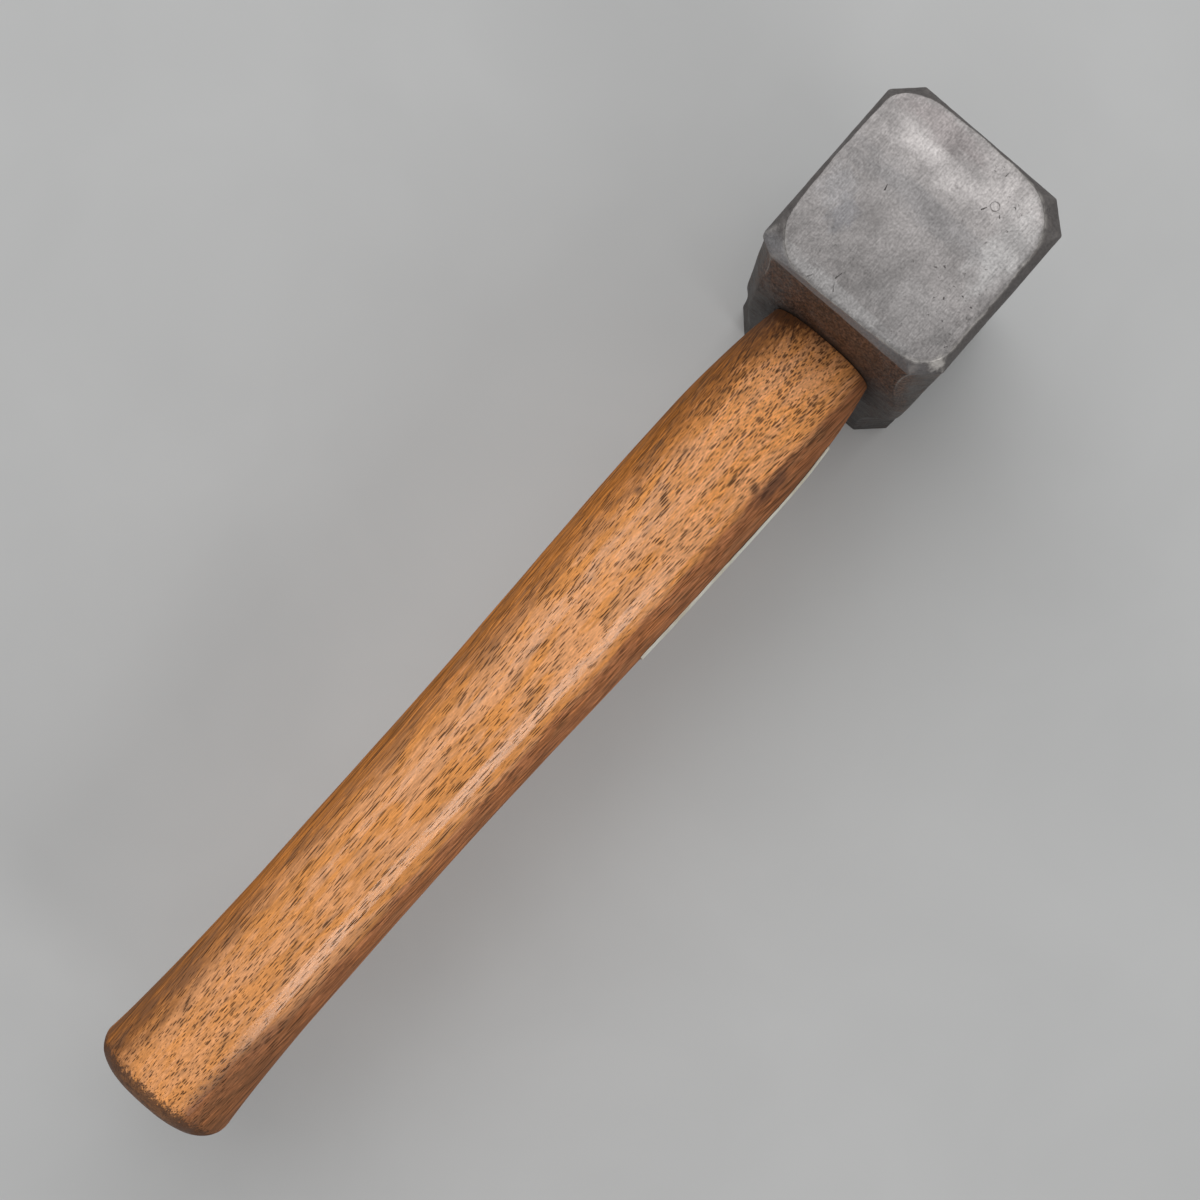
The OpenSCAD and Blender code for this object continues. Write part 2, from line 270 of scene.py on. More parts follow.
def plain_object(bm, name):
    """A bare object made of a bmesh."""
    mesh = bpy.data.meshes.new(name)
    bm.to_mesh(mesh)
    bm.free()
    item = bpy.data.objects.new(name, mesh)
    bpy.context.scene.collection.objects.link(item)
    bpy.context.view_layer.update()
    return item


def piece_from(bm, name, material, sharp_degrees):
    """A shown piece made of a bmesh, smooth but for edges past an angle."""
    piece = plain_object(bm, name)
    piece.data.shade_smooth()
    piece.data.set_sharp_from_angle(angle=math.radians(sharp_degrees))
    piece.data.materials.append(material)
    return piece


def cut_away(bm, cutters):
    """The bmesh less its cutters, each a closed bmesh."""
    target = plain_object(bm, "cut_target")
    tools = [plain_object(cutter, "cutter") for cutter in cutters]
    for tool in tools:
        modifier = target.modifiers.new("Cut", "BOOLEAN")
        modifier.operation = "DIFFERENCE"
        modifier.solver = "EXACT"
        modifier.object = tool
    shape = target.evaluated_get(bpy.context.evaluated_depsgraph_get())
    result = bmesh.new()
    result.from_mesh(shape.to_mesh())
    shape.to_mesh_clear()
    for item in [target] + tools:
        mesh = item.data
        bpy.data.objects.remove(item)
        bpy.data.meshes.remove(mesh)
    return result


# Head

SIDE_STEPS = 72
CHORD_STEPS = 10
ARC_STEPS = 6
CAP_RINGS = 36
BEVEL_RINGS = 12
SIDE_RINGS = 50
EYE_RINGS = 60
EYE_COLUMNS = 128
QUARTER = SIDE_STEPS + CHORD_STEPS + 2 * ARC_STEPS
CORNERS = ((1, 1), (-1, 1), (-1, -1), (1, -1))
# Leg of the corner's chamfer for a rounding that reaches 1 along each side
ROUND_LEG = 2 - math.sqrt(2)
# How far the eye's cutter reaches past the head
EYE_PAST = 1.5 * MM
# How far over the flat and down the bevel the mark of a worn rim reaches
RIM_MARK = 0.5 * MM
# Depths below the upper striking face between which a late scoop grows to its full size
LATE_START, LATE_END = 2 * MM, 13 * MM
# Legs of a corner between which its rounding shrinks to a worn crease
CREASE_START, CREASE_END = 1.5 * MM, 3.0 * MM
# The tables below follow the order of the corners. Where the ends differ, the lower one comes first.
# Corners of the striking faces' flats, in millimetres: how far they keep off the sides along the
# handle and across it, and how far their rounding reaches along and across
FLATS = (
    ((1.5, 1.4, 9.0, 9.5), (1.2, 1.5, 9.5, 9.0), (1.4, 1.3, 8.5, 9.0), (1.5, 1.6, 9.0, 8.5)),
    ((1.5, 1.2, 6.8, 11.0), (0.2, 1.5, 11.0, 11.0), (1.9, 1.8, 7.0, 6.6), (1.6, 2.3, 11.0, 11.0)),
)
# How much of the full scoop each corner has, along the handle and across it
SCOOPS = (
    ((0.98, 1.02), (1.08, 1.00), (1.15, 1.22), (1.00, 0.95)),
    ((1.10, 1.12), (0.70, 0.83), (1.00, 1.03), (1.06, 1.20)),
)
# How much less the scoops take along the handle beside the striking face than deeper down
LATE_SCOOPS = ((0, 0, 0, 0), (0, 0.40, 0, 0))
# What is off each corner at the waist, along the handle and across it, in millimetres
WAIST_LEGS = ((1.6, 1.7), (3.4, 3.6), (1.8, 1.6), (1.7, 1.5))
# Dents in the upper striking face: place along and across, depth and radius, in millimetres
FACE_DENTS = (
    (-20.8, -15.3, 0.16, 0.9),
    (-9.8, -19.3, 0.12, 1.1),
    (-7.6, -20.3, 0.14, 0.9),
    (7.6, -20.9, 0.22, 0.9),
    (-18.2, 5.7, 0.06, 0.7),
    (2.0, -18.3, 0.10, 0.8),
    (13.4, -8.8, 0.05, 0.9),
)


def scoop_leg(sizes, depth):
    """What the scoops take off a side at a depth below a striking face."""
    deepest = sizes.scoop_cut / math.sqrt(2)
    run = HEAD_LENGTH / 2 - sizes.waist_land / 2 - sizes.scoop_setback
    wheel = (run * run + deepest * deepest) / (2 * deepest)
    off = min(abs(depth - sizes.scoop_setback), wheel)
    return math.sqrt(2) * (deepest - wheel + math.sqrt(wheel * wheel - off * off))


def soft_max(a, b, blend=0.5 * MM):
    """The larger of two sizes, with a smooth change between them."""
    return (a + b + math.sqrt((a - b) ** 2 + blend * blend)) / 2


def rounded_outline(corners, tangents, bow):
    """Points round a polygon with rounded corners and bowed long sides, the same number on every section."""
    count = len(corners)
    points = []
    for index, corner in enumerate(corners):
        before = corners[index - 1]
        after = corners[(index + 1) % count]
        start = corner + (before - corner).normalized() * tangents[index]
        finish = corner + (after - corner).normalized() * tangents[index]
        for step in range(ARC_STEPS):
            share = step / ARC_STEPS
            points.append(start * (1 - share) ** 2 + corner * (2 * share * (1 - share)) + finish * share ** 2)
        onward = after + (corner - after).normalized() * tangents[(index + 1) % count]
        outward = Vector((onward.y - finish.y, finish.x - onward.x)).normalized()
        steps = CHORD_STEPS if index % 2 == 0 else SIDE_STEPS
        for step in range(steps):
            share = step / steps
            lift = bow * (1 - (2 * share - 1) ** 2) if steps == SIDE_STEPS else 0.0
            points.append(finish.lerp(onward, share) + outward * lift)
    return points


def head_section(sizes, depth, upper):
    """Outline of the head at a depth below one of its striking faces."""
    flatness = (1 - min(depth / sizes.bevel_depth, 1.0)) ** sizes.bevel_round
    scoop = scoop_leg(sizes, depth)
    corners = []
    tangents = []
    tables = zip(CORNERS, FLATS[upper], SCOOPS[upper], LATE_SCOOPS[upper], WAIST_LEGS)
    for (sx, sy), (inset_x, inset_y, reach_x, reach_y), (along, across), late, (waist_x, waist_y) in tables:
        kept = 1 - late * (1 - smooth(LATE_START, LATE_END, depth))
        leg_x = mix(soft_max(waist_x * MM, scoop * along) * kept, ROUND_LEG * reach_x * MM, flatness)
        leg_y = mix(soft_max(waist_y * MM, scoop * across), ROUND_LEG * reach_y * MM, flatness)
        x = sx * (HALF_ALONG - inset_x * MM * flatness)
        y = sy * (HALF_ACROSS - inset_y * MM * flatness)
        pair = [Vector((x, y - sy * leg_y)), Vector((x - sx * leg_x, y))]
        corners += pair if sx * sy > 0 else pair[::-1]
        half_chord = math.hypot(leg_x, leg_y) / 2
        worn = mix(half_chord, sizes.crease, smooth(CREASE_START, CREASE_END, min(leg_x, leg_y)))
        tangents += [mix(worn, half_chord, flatness) * 0.98] * 2
    return rounded_outline(corners, tangents, sizes.face_bow * flatness)


def uneven(sizes, flat, depth, upper):
    """A point of the outline, moved in or out by the unevenness of the rim."""
    fade = 1 - smooth(0, sizes.bevel_depth, depth)
    seed = 2.0 if upper else 6.0
    place = (flat.x, flat.y, 0)
    lump = wave(place, 4.5, seed) + 0.5 * wave(place, 1.4, 2 * seed)
    return flat + flat.normalized() * (sizes.rim_wave * lump * fade)


def forged(sizes, point, depth):
    """A point of the head's side, moved by the waves that forging left."""
    fade = smooth(0, 2 * sizes.bevel_depth, depth)
    lift = sizes.forge_wave * (wave(point, 17, 3.1) + 0.35 * wave(point, 6, 8.2)) * fade
    rough = 0.25 * sizes.rim_wave * wave(point, 1.6, 1.3)
    return point + Vector((point.x, point.y, 0)).normalized() * (lift + rough)


def hollows(sizes, flat, upper):
    """Depth of a striking face's waves at a place, with the dents of the upper one."""
    depth = sizes.face_wave * (1 + wave((flat.x, flat.y, 0), 5, 2.4))
    for x, y, deep, radius in FACE_DENTS if upper else ():
        away = (flat - Vector((x, y)) * MM).length / (radius * MM)
        depth += deep * MM * math.exp(-2 * away * away)
    return depth


def cap_share(step):
    """Place of a ring of a striking face between its middle at 0 and its rim at 1, denser at the rim."""
    return 1 - (1 - step / CAP_RINGS) ** 1.5


def bevel_place(sizes, step):
    """Depth of a ring of the bevel below the striking face, denser at the rim."""
    return sizes.bevel_depth * (step / BEVEL_RINGS) ** 1.5


def head_point(flat, down, upper):
    """A point of the head at a depth below one of its striking faces."""
    return Vector((flat.x, flat.y, HEAD_LENGTH - down if upper else down))


def face_rings(sizes, upper):
    """Rings of a striking face, from its middle to just inside its rim."""
    rim = [uneven(sizes, flat, 0.0, upper) for flat in head_section(sizes, 0.0, upper)]
    rings = [[head_point(Vector((0, 0)), 0, upper)] * len(rim)]
    for step in range(1, CAP_RINGS):
        share = cap_share(step)
        ring = []
        for edge in rim:
            inside = min(edge.length * (1 - share) / sizes.rim_reach, 1.0)
            sunk = sizes.face_crown * share ** 4 + sizes.rim_round * (1 - inside) ** 2
            sunk += hollows(sizes, edge * share, upper)
            ring.append(head_point(edge * share, sunk, upper))
        rings.append(ring)
    return rings


def side_ring(sizes, depth, upper):
    """One ring of the head's side at a depth below a striking face."""
    fade = 1 - smooth(0, sizes.bevel_depth, depth)
    ring = []
    for flat in head_section(sizes, depth, upper):
        edge = uneven(sizes, flat, depth, upper)
        sunk = sizes.face_crown + sizes.rim_round + hollows(sizes, edge, upper)
        ring.append(forged(sizes, head_point(edge, depth + sunk * fade, upper), depth))
    return ring


def head_rings(sizes):
    """Rings of the head's skin from the middle of the lower striking face to that of the upper one."""
    depths = [bevel_place(sizes, step) for step in range(BEVEL_RINGS)]
    run = HEAD_LENGTH / 2 - sizes.bevel_depth
    depths += [sizes.bevel_depth + run * (step / SIDE_RINGS) ** 1.4 for step in range(SIDE_RINGS + 1)]
    lower, upper = (
        face_rings(sizes, end) + [side_ring(sizes, depth, end) for depth in depths] for end in (False, True)
    )
    return lower[:-1] + upper[::-1]


def head_marks(sizes, rows):
    """Marks of the head's skin: ground flats, worn rims, ground bevels and worn creases."""

    def below(row):
        """Number of rings between a row and the rim of the nearer striking face, below 0 on the face."""
        return min(row, rows - 1 - row) - CAP_RINGS

    def rim(row, column):
        step = below(row)
        off_rim = HALF_ALONG * (1 - cap_share(step + CAP_RINGS)) if step < 0 else bevel_place(sizes, step)
        return max(0.0, 1 - off_rim / RIM_MARK)

    def crease(row, column):
        place = column % QUARTER
        if place >= ARC_STEPS + CHORD_STEPS:
            place -= ARC_STEPS + CHORD_STEPS
        worn = max(0.0, 1 - abs(place - ARC_STEPS / 2) / (ARC_STEPS / 2))
        return worn * smooth(0, BEVEL_RINGS, below(row))

    return {
        "flat": lambda row, column: float(below(row) <= 0),
        "bevel": lambda row, column: float(0 <= below(row) <= BEVEL_RINGS),
        "rim": rim,
        "crease": crease,
    }


def oval_ring(x, y, half_width, half_height, half_flank, power, columns):
    """An upright oval section at x, with straight flanks where half_flank isn't 0."""
    ring = []
    for column in range(columns):
        turn = math.tau * (column + 0.5) / columns
        across = half_width * rise(math.cos(turn), 2 / power)
        up = rise(math.sin(turn), 2 / power) * (half_height - half_flank)
        ring.append(Vector((x, y + across, EYE_Z + up + math.copysign(half_flank, math.sin(turn)))))
    return ring


def eye_centres(sizes):
    """Height of the centres of the eye's round ends above and below its middle."""
    return (sizes.eye_height - sizes.eye_width) / 2


def eye_radius(sizes, x):
    """Radius of the eye's round ends at a distance along it."""
    return sizes.eye_width / 2 + sizes.eye_flare * abs(x) / HALF_ALONG


def eye_cutter(sizes):
    """What is cut out of the head: the waisted eye with a broken edge at each mouth."""
    centres = eye_centres(sizes)
    end = HALF_ALONG + EYE_PAST
    rings = [[Vector((-end, 0, EYE_Z))] * EYE_COLUMNS]
    for step in range(EYE_RINGS + 1):
        x = mix(-end, end, step / EYE_RINGS)
        radius = eye_radius(sizes, x) + max(0.0, abs(x) - (HALF_ALONG - sizes.mouth_bevel))
        rings.append(oval_ring(x, 0, radius, centres + radius, centres, 2, EYE_COLUMNS))
    return skin(rings + [[Vector((end, 0, EYE_Z))] * EYE_COLUMNS])


class HAMMER_OT_head(bpy.types.Operator):
    """Builds the forged head with its scooped corners, ground faces and eye"""

    bl_idname = "hammer.head"
    bl_label = "Head"

    def execute(self, context):
        sizes = context.scene.hammer_head
        rings = head_rings(sizes)
        bm = cut_away(skin(rings, head_marks(sizes, len(rings))), [eye_cutter(sizes)])
        piece = piece_from(bm, "forged_head", head_steel(), 24)
        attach(piece, BODY)
        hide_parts("head")
        return {"FINISHED"}


# Handle

WOOD_COLUMNS = 160
TONGUE_RINGS = 24
BUTT_RINGS = 26
NECK_RINGS = 44
GRIP_RINGS = 150
# Broken edge round the end of the tongue, and the shares at which rings fill that end
TONGUE_EDGE = 0.25 * MM
TONGUE_SHARES = (0.25, 0.5, 0.75, 0.9, 0.985)
# Distance from the head at which the waves of the handle are full
WAVES_FULL = 6 * MM
# Where the roughness of the butt's bare end starts and is full, counted from that end
BARE_END = (-9 * MM, -5 * MM)
# How far a wedge's cutter reaches past the end of the wood
SLAB_PAST = 1 * MM
# Dents in the wood: distance from the head, turn round the section in degrees, depth and radius in mm
WOOD_DENTS = (
    (32.0, 36.0, 0.30, 1.6),
    (48.0, 118.0, 0.18, 1.5),
    (71.0, 96.0, 0.12, 2.2),
    (128.0, 58.0, 0.12, 2.5),
    (162.0, 132.0, 0.22, 1.8),
    (96.0, 15.0, 0.20, 2.4),
    (190.0, 250.0, 0.25, 2.2),
    (120.0, 300.0, 0.20, 2.8),
)


def handle_reach(sizes):
    """Length of the handle that stands out of the head."""
    return -HALF_ALONG - sizes.fit_gap - HANDLE_LOW.x


def hung(sizes, away):
    """How far the handle's axis has moved sideways at a distance from the head."""
    return math.tan(sizes.hang) * away


def swell(sizes, away):
    """How far the handle has turned from the eye's section at 0 to its full oval at 1."""
    return 1 - (1 - min(away / sizes.shoulder_place, 1.0)) ** sizes.shoulder_swell


def half_size(sizes, away, entry, shoulder, grip, butt):
    """Half of the handle's width or height at a distance from the head."""
    reach = handle_reach(sizes)
    dome_start = reach - sizes.butt_dome
    if away <= sizes.shoulder_place:
        full = mix(entry, shoulder, swell(sizes, away))
    elif away <= sizes.grip_place:
        share = (away - sizes.shoulder_place) / (sizes.grip_place - sizes.shoulder_place)
        full = mix(grip, shoulder, (1 + math.cos(math.pi * share)) / 2)
    elif away <= dome_start:
        share = (away - sizes.grip_place) / (dome_start - sizes.grip_place)
        full = mix(grip, butt, share ** sizes.butt_flare)
    else:
        left = max(reach - away, 0.0) / sizes.butt_dome
        full = butt * (1 - (1 - left) ** 2) ** (1 / sizes.butt_flatness)
    return full / 2


def wood_section(head, sizes, away):
    """Half-width, half-height, half-flank and power of the handle's section at a distance from the head."""
    centres = eye_centres(head)
    mouth = eye_radius(head, HALF_ALONG) + sizes.bearing_lip
    turned = swell(sizes, away)
    widths = (2 * mouth, sizes.shoulder_width, sizes.grip_width, sizes.butt_width)
    heights = (2 * (centres + mouth), sizes.shoulder_height, sizes.grip_height, sizes.butt_height)
    return (
        half_size(sizes, away, *widths),
        half_size(sizes, away, *heights),
        centres * (1 - turned),
        mix(sizes.neck_power, sizes.oval_power, turned),
    )


def shaped(sizes, point, away, turn):
    """A point of the handle's skin, moved by the waves and dents of long use."""
    fade = smooth(0, WAVES_FULL, away)
    lift = sizes.hand_wave * (wave(point, 34, 5.5) + 0.4 * wave(point, 11, 7.7)) * fade
    bare_end = smooth(*BARE_END, away - handle_reach(sizes))
    lift += sizes.butt_chip * wave(point, 2.2, 4.1) * bare_end
    for place, degrees, depth, radius in WOOD_DENTS:
        around = math.remainder(turn - math.radians(degrees), math.tau) * sizes.grip_height / 2
        gap = math.hypot(away - place * MM, around) / (radius * MM)
        lift -= depth * MM * math.exp(-2 * gap * gap)
    middle = Vector((point.x, hung(sizes, away), EYE_Z))
    return point + (point - middle).normalized() * lift


def wood_ring(head, sizes, away):
    """One ring of the handle's skin at a distance from the head."""
    x = -HALF_ALONG - sizes.fit_gap - away
    ring = oval_ring(x, hung(sizes, away), *wood_section(head, sizes, away), WOOD_COLUMNS)
    return [
        shaped(sizes, point, away, math.tau * (column + 0.5) / WOOD_COLUMNS)
        for column, point in enumerate(ring)
    ]


def tongue_ring(head, sizes, x, share=1.0):
    """One ring of the tongue that fills the eye, drawn in to a share of its size."""
    centres = eye_centres(head)
    radius = eye_radius(head, x) - sizes.fit_gap
    return oval_ring(x, 0, radius * share, (centres + radius) * share, centres * share, 2, WOOD_COLUMNS)


def handle_rings(head, sizes):
    """Rings of the handle's skin from the end of the tongue to the middle of the butt."""
    rings = [[Vector((WOOD_END, 0, EYE_Z))] * WOOD_COLUMNS]
    rings += [tongue_ring(head, sizes, WOOD_END, share) for share in TONGUE_SHARES]
    for step in range(TONGUE_RINGS + 1):
        x = mix(WOOD_END - TONGUE_EDGE, -HALF_ALONG - sizes.fit_gap, step / TONGUE_RINGS)
        rings.append(tongue_ring(head, sizes, x))
    reach = handle_reach(sizes)
    grip_run = reach - sizes.butt_dome - sizes.shoulder_place
    away = [sizes.shoulder_place * (step / NECK_RINGS) ** 1.2 for step in range(NECK_RINGS)]
    away += [sizes.shoulder_place + grip_run * step / GRIP_RINGS for step in range(GRIP_RINGS)]
    turns = [math.pi / 2 * step / BUTT_RINGS for step in range(BUTT_RINGS)]
    away += [reach - sizes.butt_dome * (1 - math.sin(turn)) for turn in turns]
    rings += [wood_ring(head, sizes, place) for place in away]
    rings.append([Vector((HANDLE_LOW.x, hung(sizes, reach), EYE_Z))] * WOOD_COLUMNS)
    return rings


def slab(depth, head, tip, height, grow):
    """A cutter as thick as a wedge with its clearance, driven in from the end of the wood along -X."""
    bm = bmesh.new()
    made = bmesh.ops.create_cube(bm, size=1.0)
    for vert in made["verts"]:
        outer = vert.co.x > 0
        half = (head if outer else tip) / 2 + grow
        vert.co.x = WOOD_END + SLAB_PAST if outer else WOOD_END - depth - grow
        vert.co.y = math.copysign(half, vert.co.y)
        vert.co.z = vert.co.z * height
    return bm


def wedge_cutters(head, handle, wedges):
    """Room for the wooden wedge, its saw kerf and the two steel wedges."""
    gap = handle.fit_gap
    tip = wedges.wood_tip
    width = head.eye_width - 2 * wedges.side_room + 2 * gap
    skew = Euler((math.radians(90) + wedges.steel_skew, 0, 0)).to_matrix()
    cutters = [
        slab(wedges.wood_depth, wedges.wood_head, tip, HEAD_LENGTH, gap),
        slab(wedges.wood_depth + wedges.kerf_run_out, tip, tip, HEAD_LENGTH, gap),
    ]
    lifts = [0, 0, -eye_centres(head), eye_centres(head)]
    for _ in range(2):
        cutter = slab(wedges.steel_depth, wedges.steel_head, wedges.steel_tip, width, gap)
        bmesh.ops.rotate(cutter, verts=cutter.verts, cent=(0, 0, 0), matrix=skew)
        cutters.append(cutter)
    for cutter, lift in zip(cutters, lifts):
        bmesh.ops.translate(cutter, verts=cutter.verts, vec=Vector((0, 0, EYE_Z + lift)))
    return cutters


class HAMMER_OT_handle(bpy.types.Operator):
    """Builds the handle from the tongue in the eye to the domed butt"""

    bl_idname = "hammer.handle"
    bl_label = "Handle"

    def execute(self, context):
        scene = context.scene
        rings = handle_rings(scene.hammer_head, scene.hammer_handle)
        cutters = wedge_cutters(scene.hammer_head, scene.hammer_handle, scene.hammer_wedges)
        piece = piece_from(cut_away(skin(rings), cutters), "worn_handle", handle_wood(), 40)
        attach(piece, BODY)
        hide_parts("handle")
        return {"FINISHED"}


# Wedges

class HAMMER_OT_wedges(bpy.types.Operator):
    """Finishes the wooden wedge and the two steel wedges"""

    bl_idname = "hammer.wedges"
    bl_label = "Wedges"

    def execute(self, context):
        for node, material in (("wooden_wedge", wedge_wood()), ("steel_wedges", wedge_steel())):
            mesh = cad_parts[node].data
            mesh.materials.clear()
            mesh.materials.append(material)
        return {"FINISHED"}


# Paper label

LABEL_COLUMNS = 160
LABEL_ROWS = 36
# The paper's length and height, laid flat
LABEL_LENGTH = 62 * MM
LABEL_HEIGHT = 20 * MM


def label_point(scene, along, up, lift):
    """A point of the paper at shares along and up the label, lifted off the wood."""
    sizes = scene.hammer_handle
    x = mix(LABEL_HIGH.x, LABEL_LOW.x, along)
    away = -HALF_ALONG - sizes.fit_gap - x
    height = mix(LABEL_LOW.z, LABEL_HIGH.z, up) - EYE_Z
    half_width, half_height, half_flank, power = wood_section(scene.hammer_head, sizes, away)
    share = max(abs(height) - half_flank, 0.0) / (half_height - half_flank)
    turn = math.pi - math.copysign(math.asin(share ** (power / 2)), height)
    y = hung(sizes, away) + half_width * rise(math.cos(turn), 2 / power)
    point = shaped(sizes, Vector((x, y, EYE_Z + height)), away, turn)
    middle = Vector((x, hung(sizes, away), EYE_Z + 0.3 * height))
    return point + (point - middle).normalized() * lift


class HAMMER_OT_label(bpy.types.Operator):
    """Builds the blank paper label on the side of the handle"""

    bl_idname = "hammer.label"
    bl_label = "Paper label"

    def execute(self, context):
        sizes = context.scene.hammer_label
        bm = bmesh.new()
        bmesh.ops.create_grid(bm, x_segments=LABEL_COLUMNS, y_segments=LABEL_ROWS, size=0.5)
        for vert in bm.verts:
            along = vert.co.x + 0.5
            up = vert.co.y + 0.5
            place = (along * LABEL_LENGTH, 0, 0)
            tear = sizes.tear * (wave(place, 3, 6.0) + 0.5 * wave(place, 0.9, 2.0) - 0.4)
            lift = sizes.glue_gap + sizes.thickness
            lift += sizes.curl * up ** 8 * (1 + 0.8 * wave(place, 9, 3.3))
            lift += sizes.bulge * max(math.sin(math.pi * up), 0.0) ** 0.6
            lift += sizes.wrinkle * (1 + wave((along * LABEL_LENGTH, up * LABEL_HEIGHT, 0), 2.5, 9.1))
            vert.co = label_point(context.scene, along, min(up * (1 + tear / LABEL_HEIGHT), 1.0), lift)
        bmesh.ops.recalc_face_normals(bm, faces=bm.faces)
        if bm.faces[0].normal.y > 0:
            bmesh.ops.reverse_faces(bm, faces=bm.faces)
        bmesh.ops.solidify(bm, geom=bm.faces[:], thickness=sizes.thickness)
        bmesh.ops.recalc_face_normals(bm, faces=bm.faces)
        piece = piece_from(bm, "blank_label", label_paper(), 40)
        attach(piece, BODY)
        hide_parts("paper_label")
        return {"FINISHED"}


# Nodes

def add(tree, kind, inputs=None, **settings):
    """A new node with its settings and inputs."""
    node = tree.nodes.new(kind)
    for name, value in settings.items():
        setattr(node, name, value)
    for name, value in (inputs or {}).items():
        feed(node.inputs[name], value)
    return node


def feed(socket, value):
    """Links a socket to a value that varies over the surface, or sets it to a plain one."""
    if isinstance(value, Value):
        socket.id_data.links.new(value.socket, socket)
    else:
        socket.default_value = (*value, 1.0) if socket.type == "RGBA" else value


class Value:
    """A number, colour or vector that varies over the surface, as a node's output."""

    def __init__(self, socket):
        self.socket = socket

    def add(self, kind, inputs=None, **settings):
        """A new node in this value's tree."""
        return add(self.socket.id_data, kind, inputs, **settings)

    def maths(self, operation, *others):
        """A sum, product or other function of numbers."""
        inputs = dict(enumerate((self, *others)))
        return Value(self.add("ShaderNodeMath", inputs, operation=operation).outputs[0])

    def __add__(self, other):
        return self.maths("ADD", other)

    def __sub__(self, other):
        return self.maths("SUBTRACT", other)

    def __mul__(self, other):
        return self.maths("MULTIPLY", other)

    def __truediv__(self, other):
        return self.maths("DIVIDE", other)

    def __pow__(self, other):
        return self.maths("POWER", other)

    def vector(self, operation, other=(0, 0, 0), result="Vector"):
        """A sum, product or measure of vectors."""
        inputs = {0: self, "Scale" if operation == "SCALE" else 1: other}
        return Value(self.add("ShaderNodeVectorMath", inputs, operation=operation).outputs[result])

    def line(self, low, high, bottom, top, held=True, kind="LINEAR"):
        """A straight change from bottom to top while this goes from low to high, held at both or not."""
        inputs = dict(enumerate((self, low, high, bottom, top)))
        return Value(self.add("ShaderNodeMapRange", inputs, clamp=held, interpolation_type=kind).outputs[0])

    def ramp(self, low, high, bottom=0, top=1):
        """A smooth change from bottom to top while this goes from low to high."""
        return self.line(low, high, bottom, top, kind="SMOOTHSTEP")

    def around(self, low, high):
        """A tone for noise, from low to high over the noise's usual range."""
        return self.line(0.3, 0.7, low, high)

    def decay(self, start, finish):
        """1 at the start, 0.37 at the finish, and falling off all the way."""
        return self.line(start, finish, 0, -1, held=False).maths("EXPONENT")

    def blend(self, a, b, mode="MIX", share=None):
        """Colour a with this share of colour b over it."""
        inputs = {0: self if share is None else share, 6: a, 7: b}
        node = self.add("ShaderNodeMix", inputs, data_type="RGBA", blend_type=mode, clamp_factor=True)
        return Value(node.outputs[2])

    def shade(self, colour):
        """A colour made darker or lighter by this tone."""
        return self.blend(colour, join(self, self, self), "MULTIPLY", 1.0)

    def place(self, scale=(1, 1, 1), turn=(0, 0, 0), shift=(0, 0, 0)):
        """This vector scaled, turned and then shifted."""
        inputs = {"Vector": self, "Scale": scale, "Rotation": turn, "Location": shift}
        return Value(self.add("ShaderNodeMapping", inputs).outputs[0])

    def noise(self, size, detail=2, roughness=0.5, warp=0, result="Fac"):
        """Noise whose lumps are of a size, which is one number or one for each axis."""
        sizes = size if isinstance(size, tuple) else (size, size, size)
        scaled = self.place(tuple(1 / value for value in sizes))
        inputs = {"Vector": scaled, "Scale": 1, "Detail": detail, "Roughness": roughness, "Distortion": warp}
        return Value(self.add("ShaderNodeTexNoise", inputs).outputs[result])

    def cells(self, dimensions="3D"):
        """Distance to the nearest of scattered points, and two chances that belong to that point."""
        inputs = {"Vector": self, "Scale": 1}
        node = self.add("ShaderNodeTexVoronoi", inputs, voronoi_dimensions=dimensions)
        chance, other, _ = Value(node.outputs["Color"]).parts()
        return Value(node.outputs["Distance"]), chance, other

    def parts(self):
        """The three parts of this vector."""
        return [Value(socket) for socket in self.add("ShaderNodeSeparateXYZ", {"Vector": self}).outputs]

    def use(self, group, **inputs):
        """A shared group's outputs at this place, or its one output."""
        node = self.add("ShaderNodeGroup", {"Place": self, **inputs}, node_tree=group())
        outputs = [Value(socket) for socket in node.outputs]
        return outputs if len(outputs) > 1 else outputs[0]


def join(x, y, z=0.0):
    """A vector from its parts."""
    return Value(x.add("ShaderNodeCombineXYZ", {"X": x, "Y": y, "Z": z}).outputs[0])


def most(first, *others):
    """The largest of numbers."""
    for other in others:
        first = first.maths("MAXIMUM", other)
    return first


def layered(base, *layers):
    """A colour with others laid over it in order, each with its share."""
    for share, over in layers:
        base = share.blend(base, over)
    return base


def shared_group(name, inputs, outputs):
    """Makes a function that wires a node group give that group, which is built once."""

    def wrap(wire):
        def group():
            tree = bpy.data.node_groups.get(name)
            if tree:
                return tree
            tree = bpy.data.node_groups.new(name, "ShaderNodeTree")
            for label, default in inputs.items():
                kind = "NodeSocketVector" if isinstance(default, tuple) else "NodeSocketFloat"
                tree.interface.new_socket(label, in_out="INPUT", socket_type=kind).default_value = default
            for label in outputs:
                tree.interface.new_socket(label, in_out="OUTPUT", socket_type="NodeSocketFloat")
            entry = add(tree, "NodeGroupInput").outputs
            made = wire(*(Value(entry[label]) for label in inputs))
            leave = add(tree, "NodeGroupOutput").inputs
            for label, value in zip(outputs, made):
                feed(leave[label], value)
            return tree

        return group

    return wrap


MIDDLE = (0.0, 0.0, 0.0)


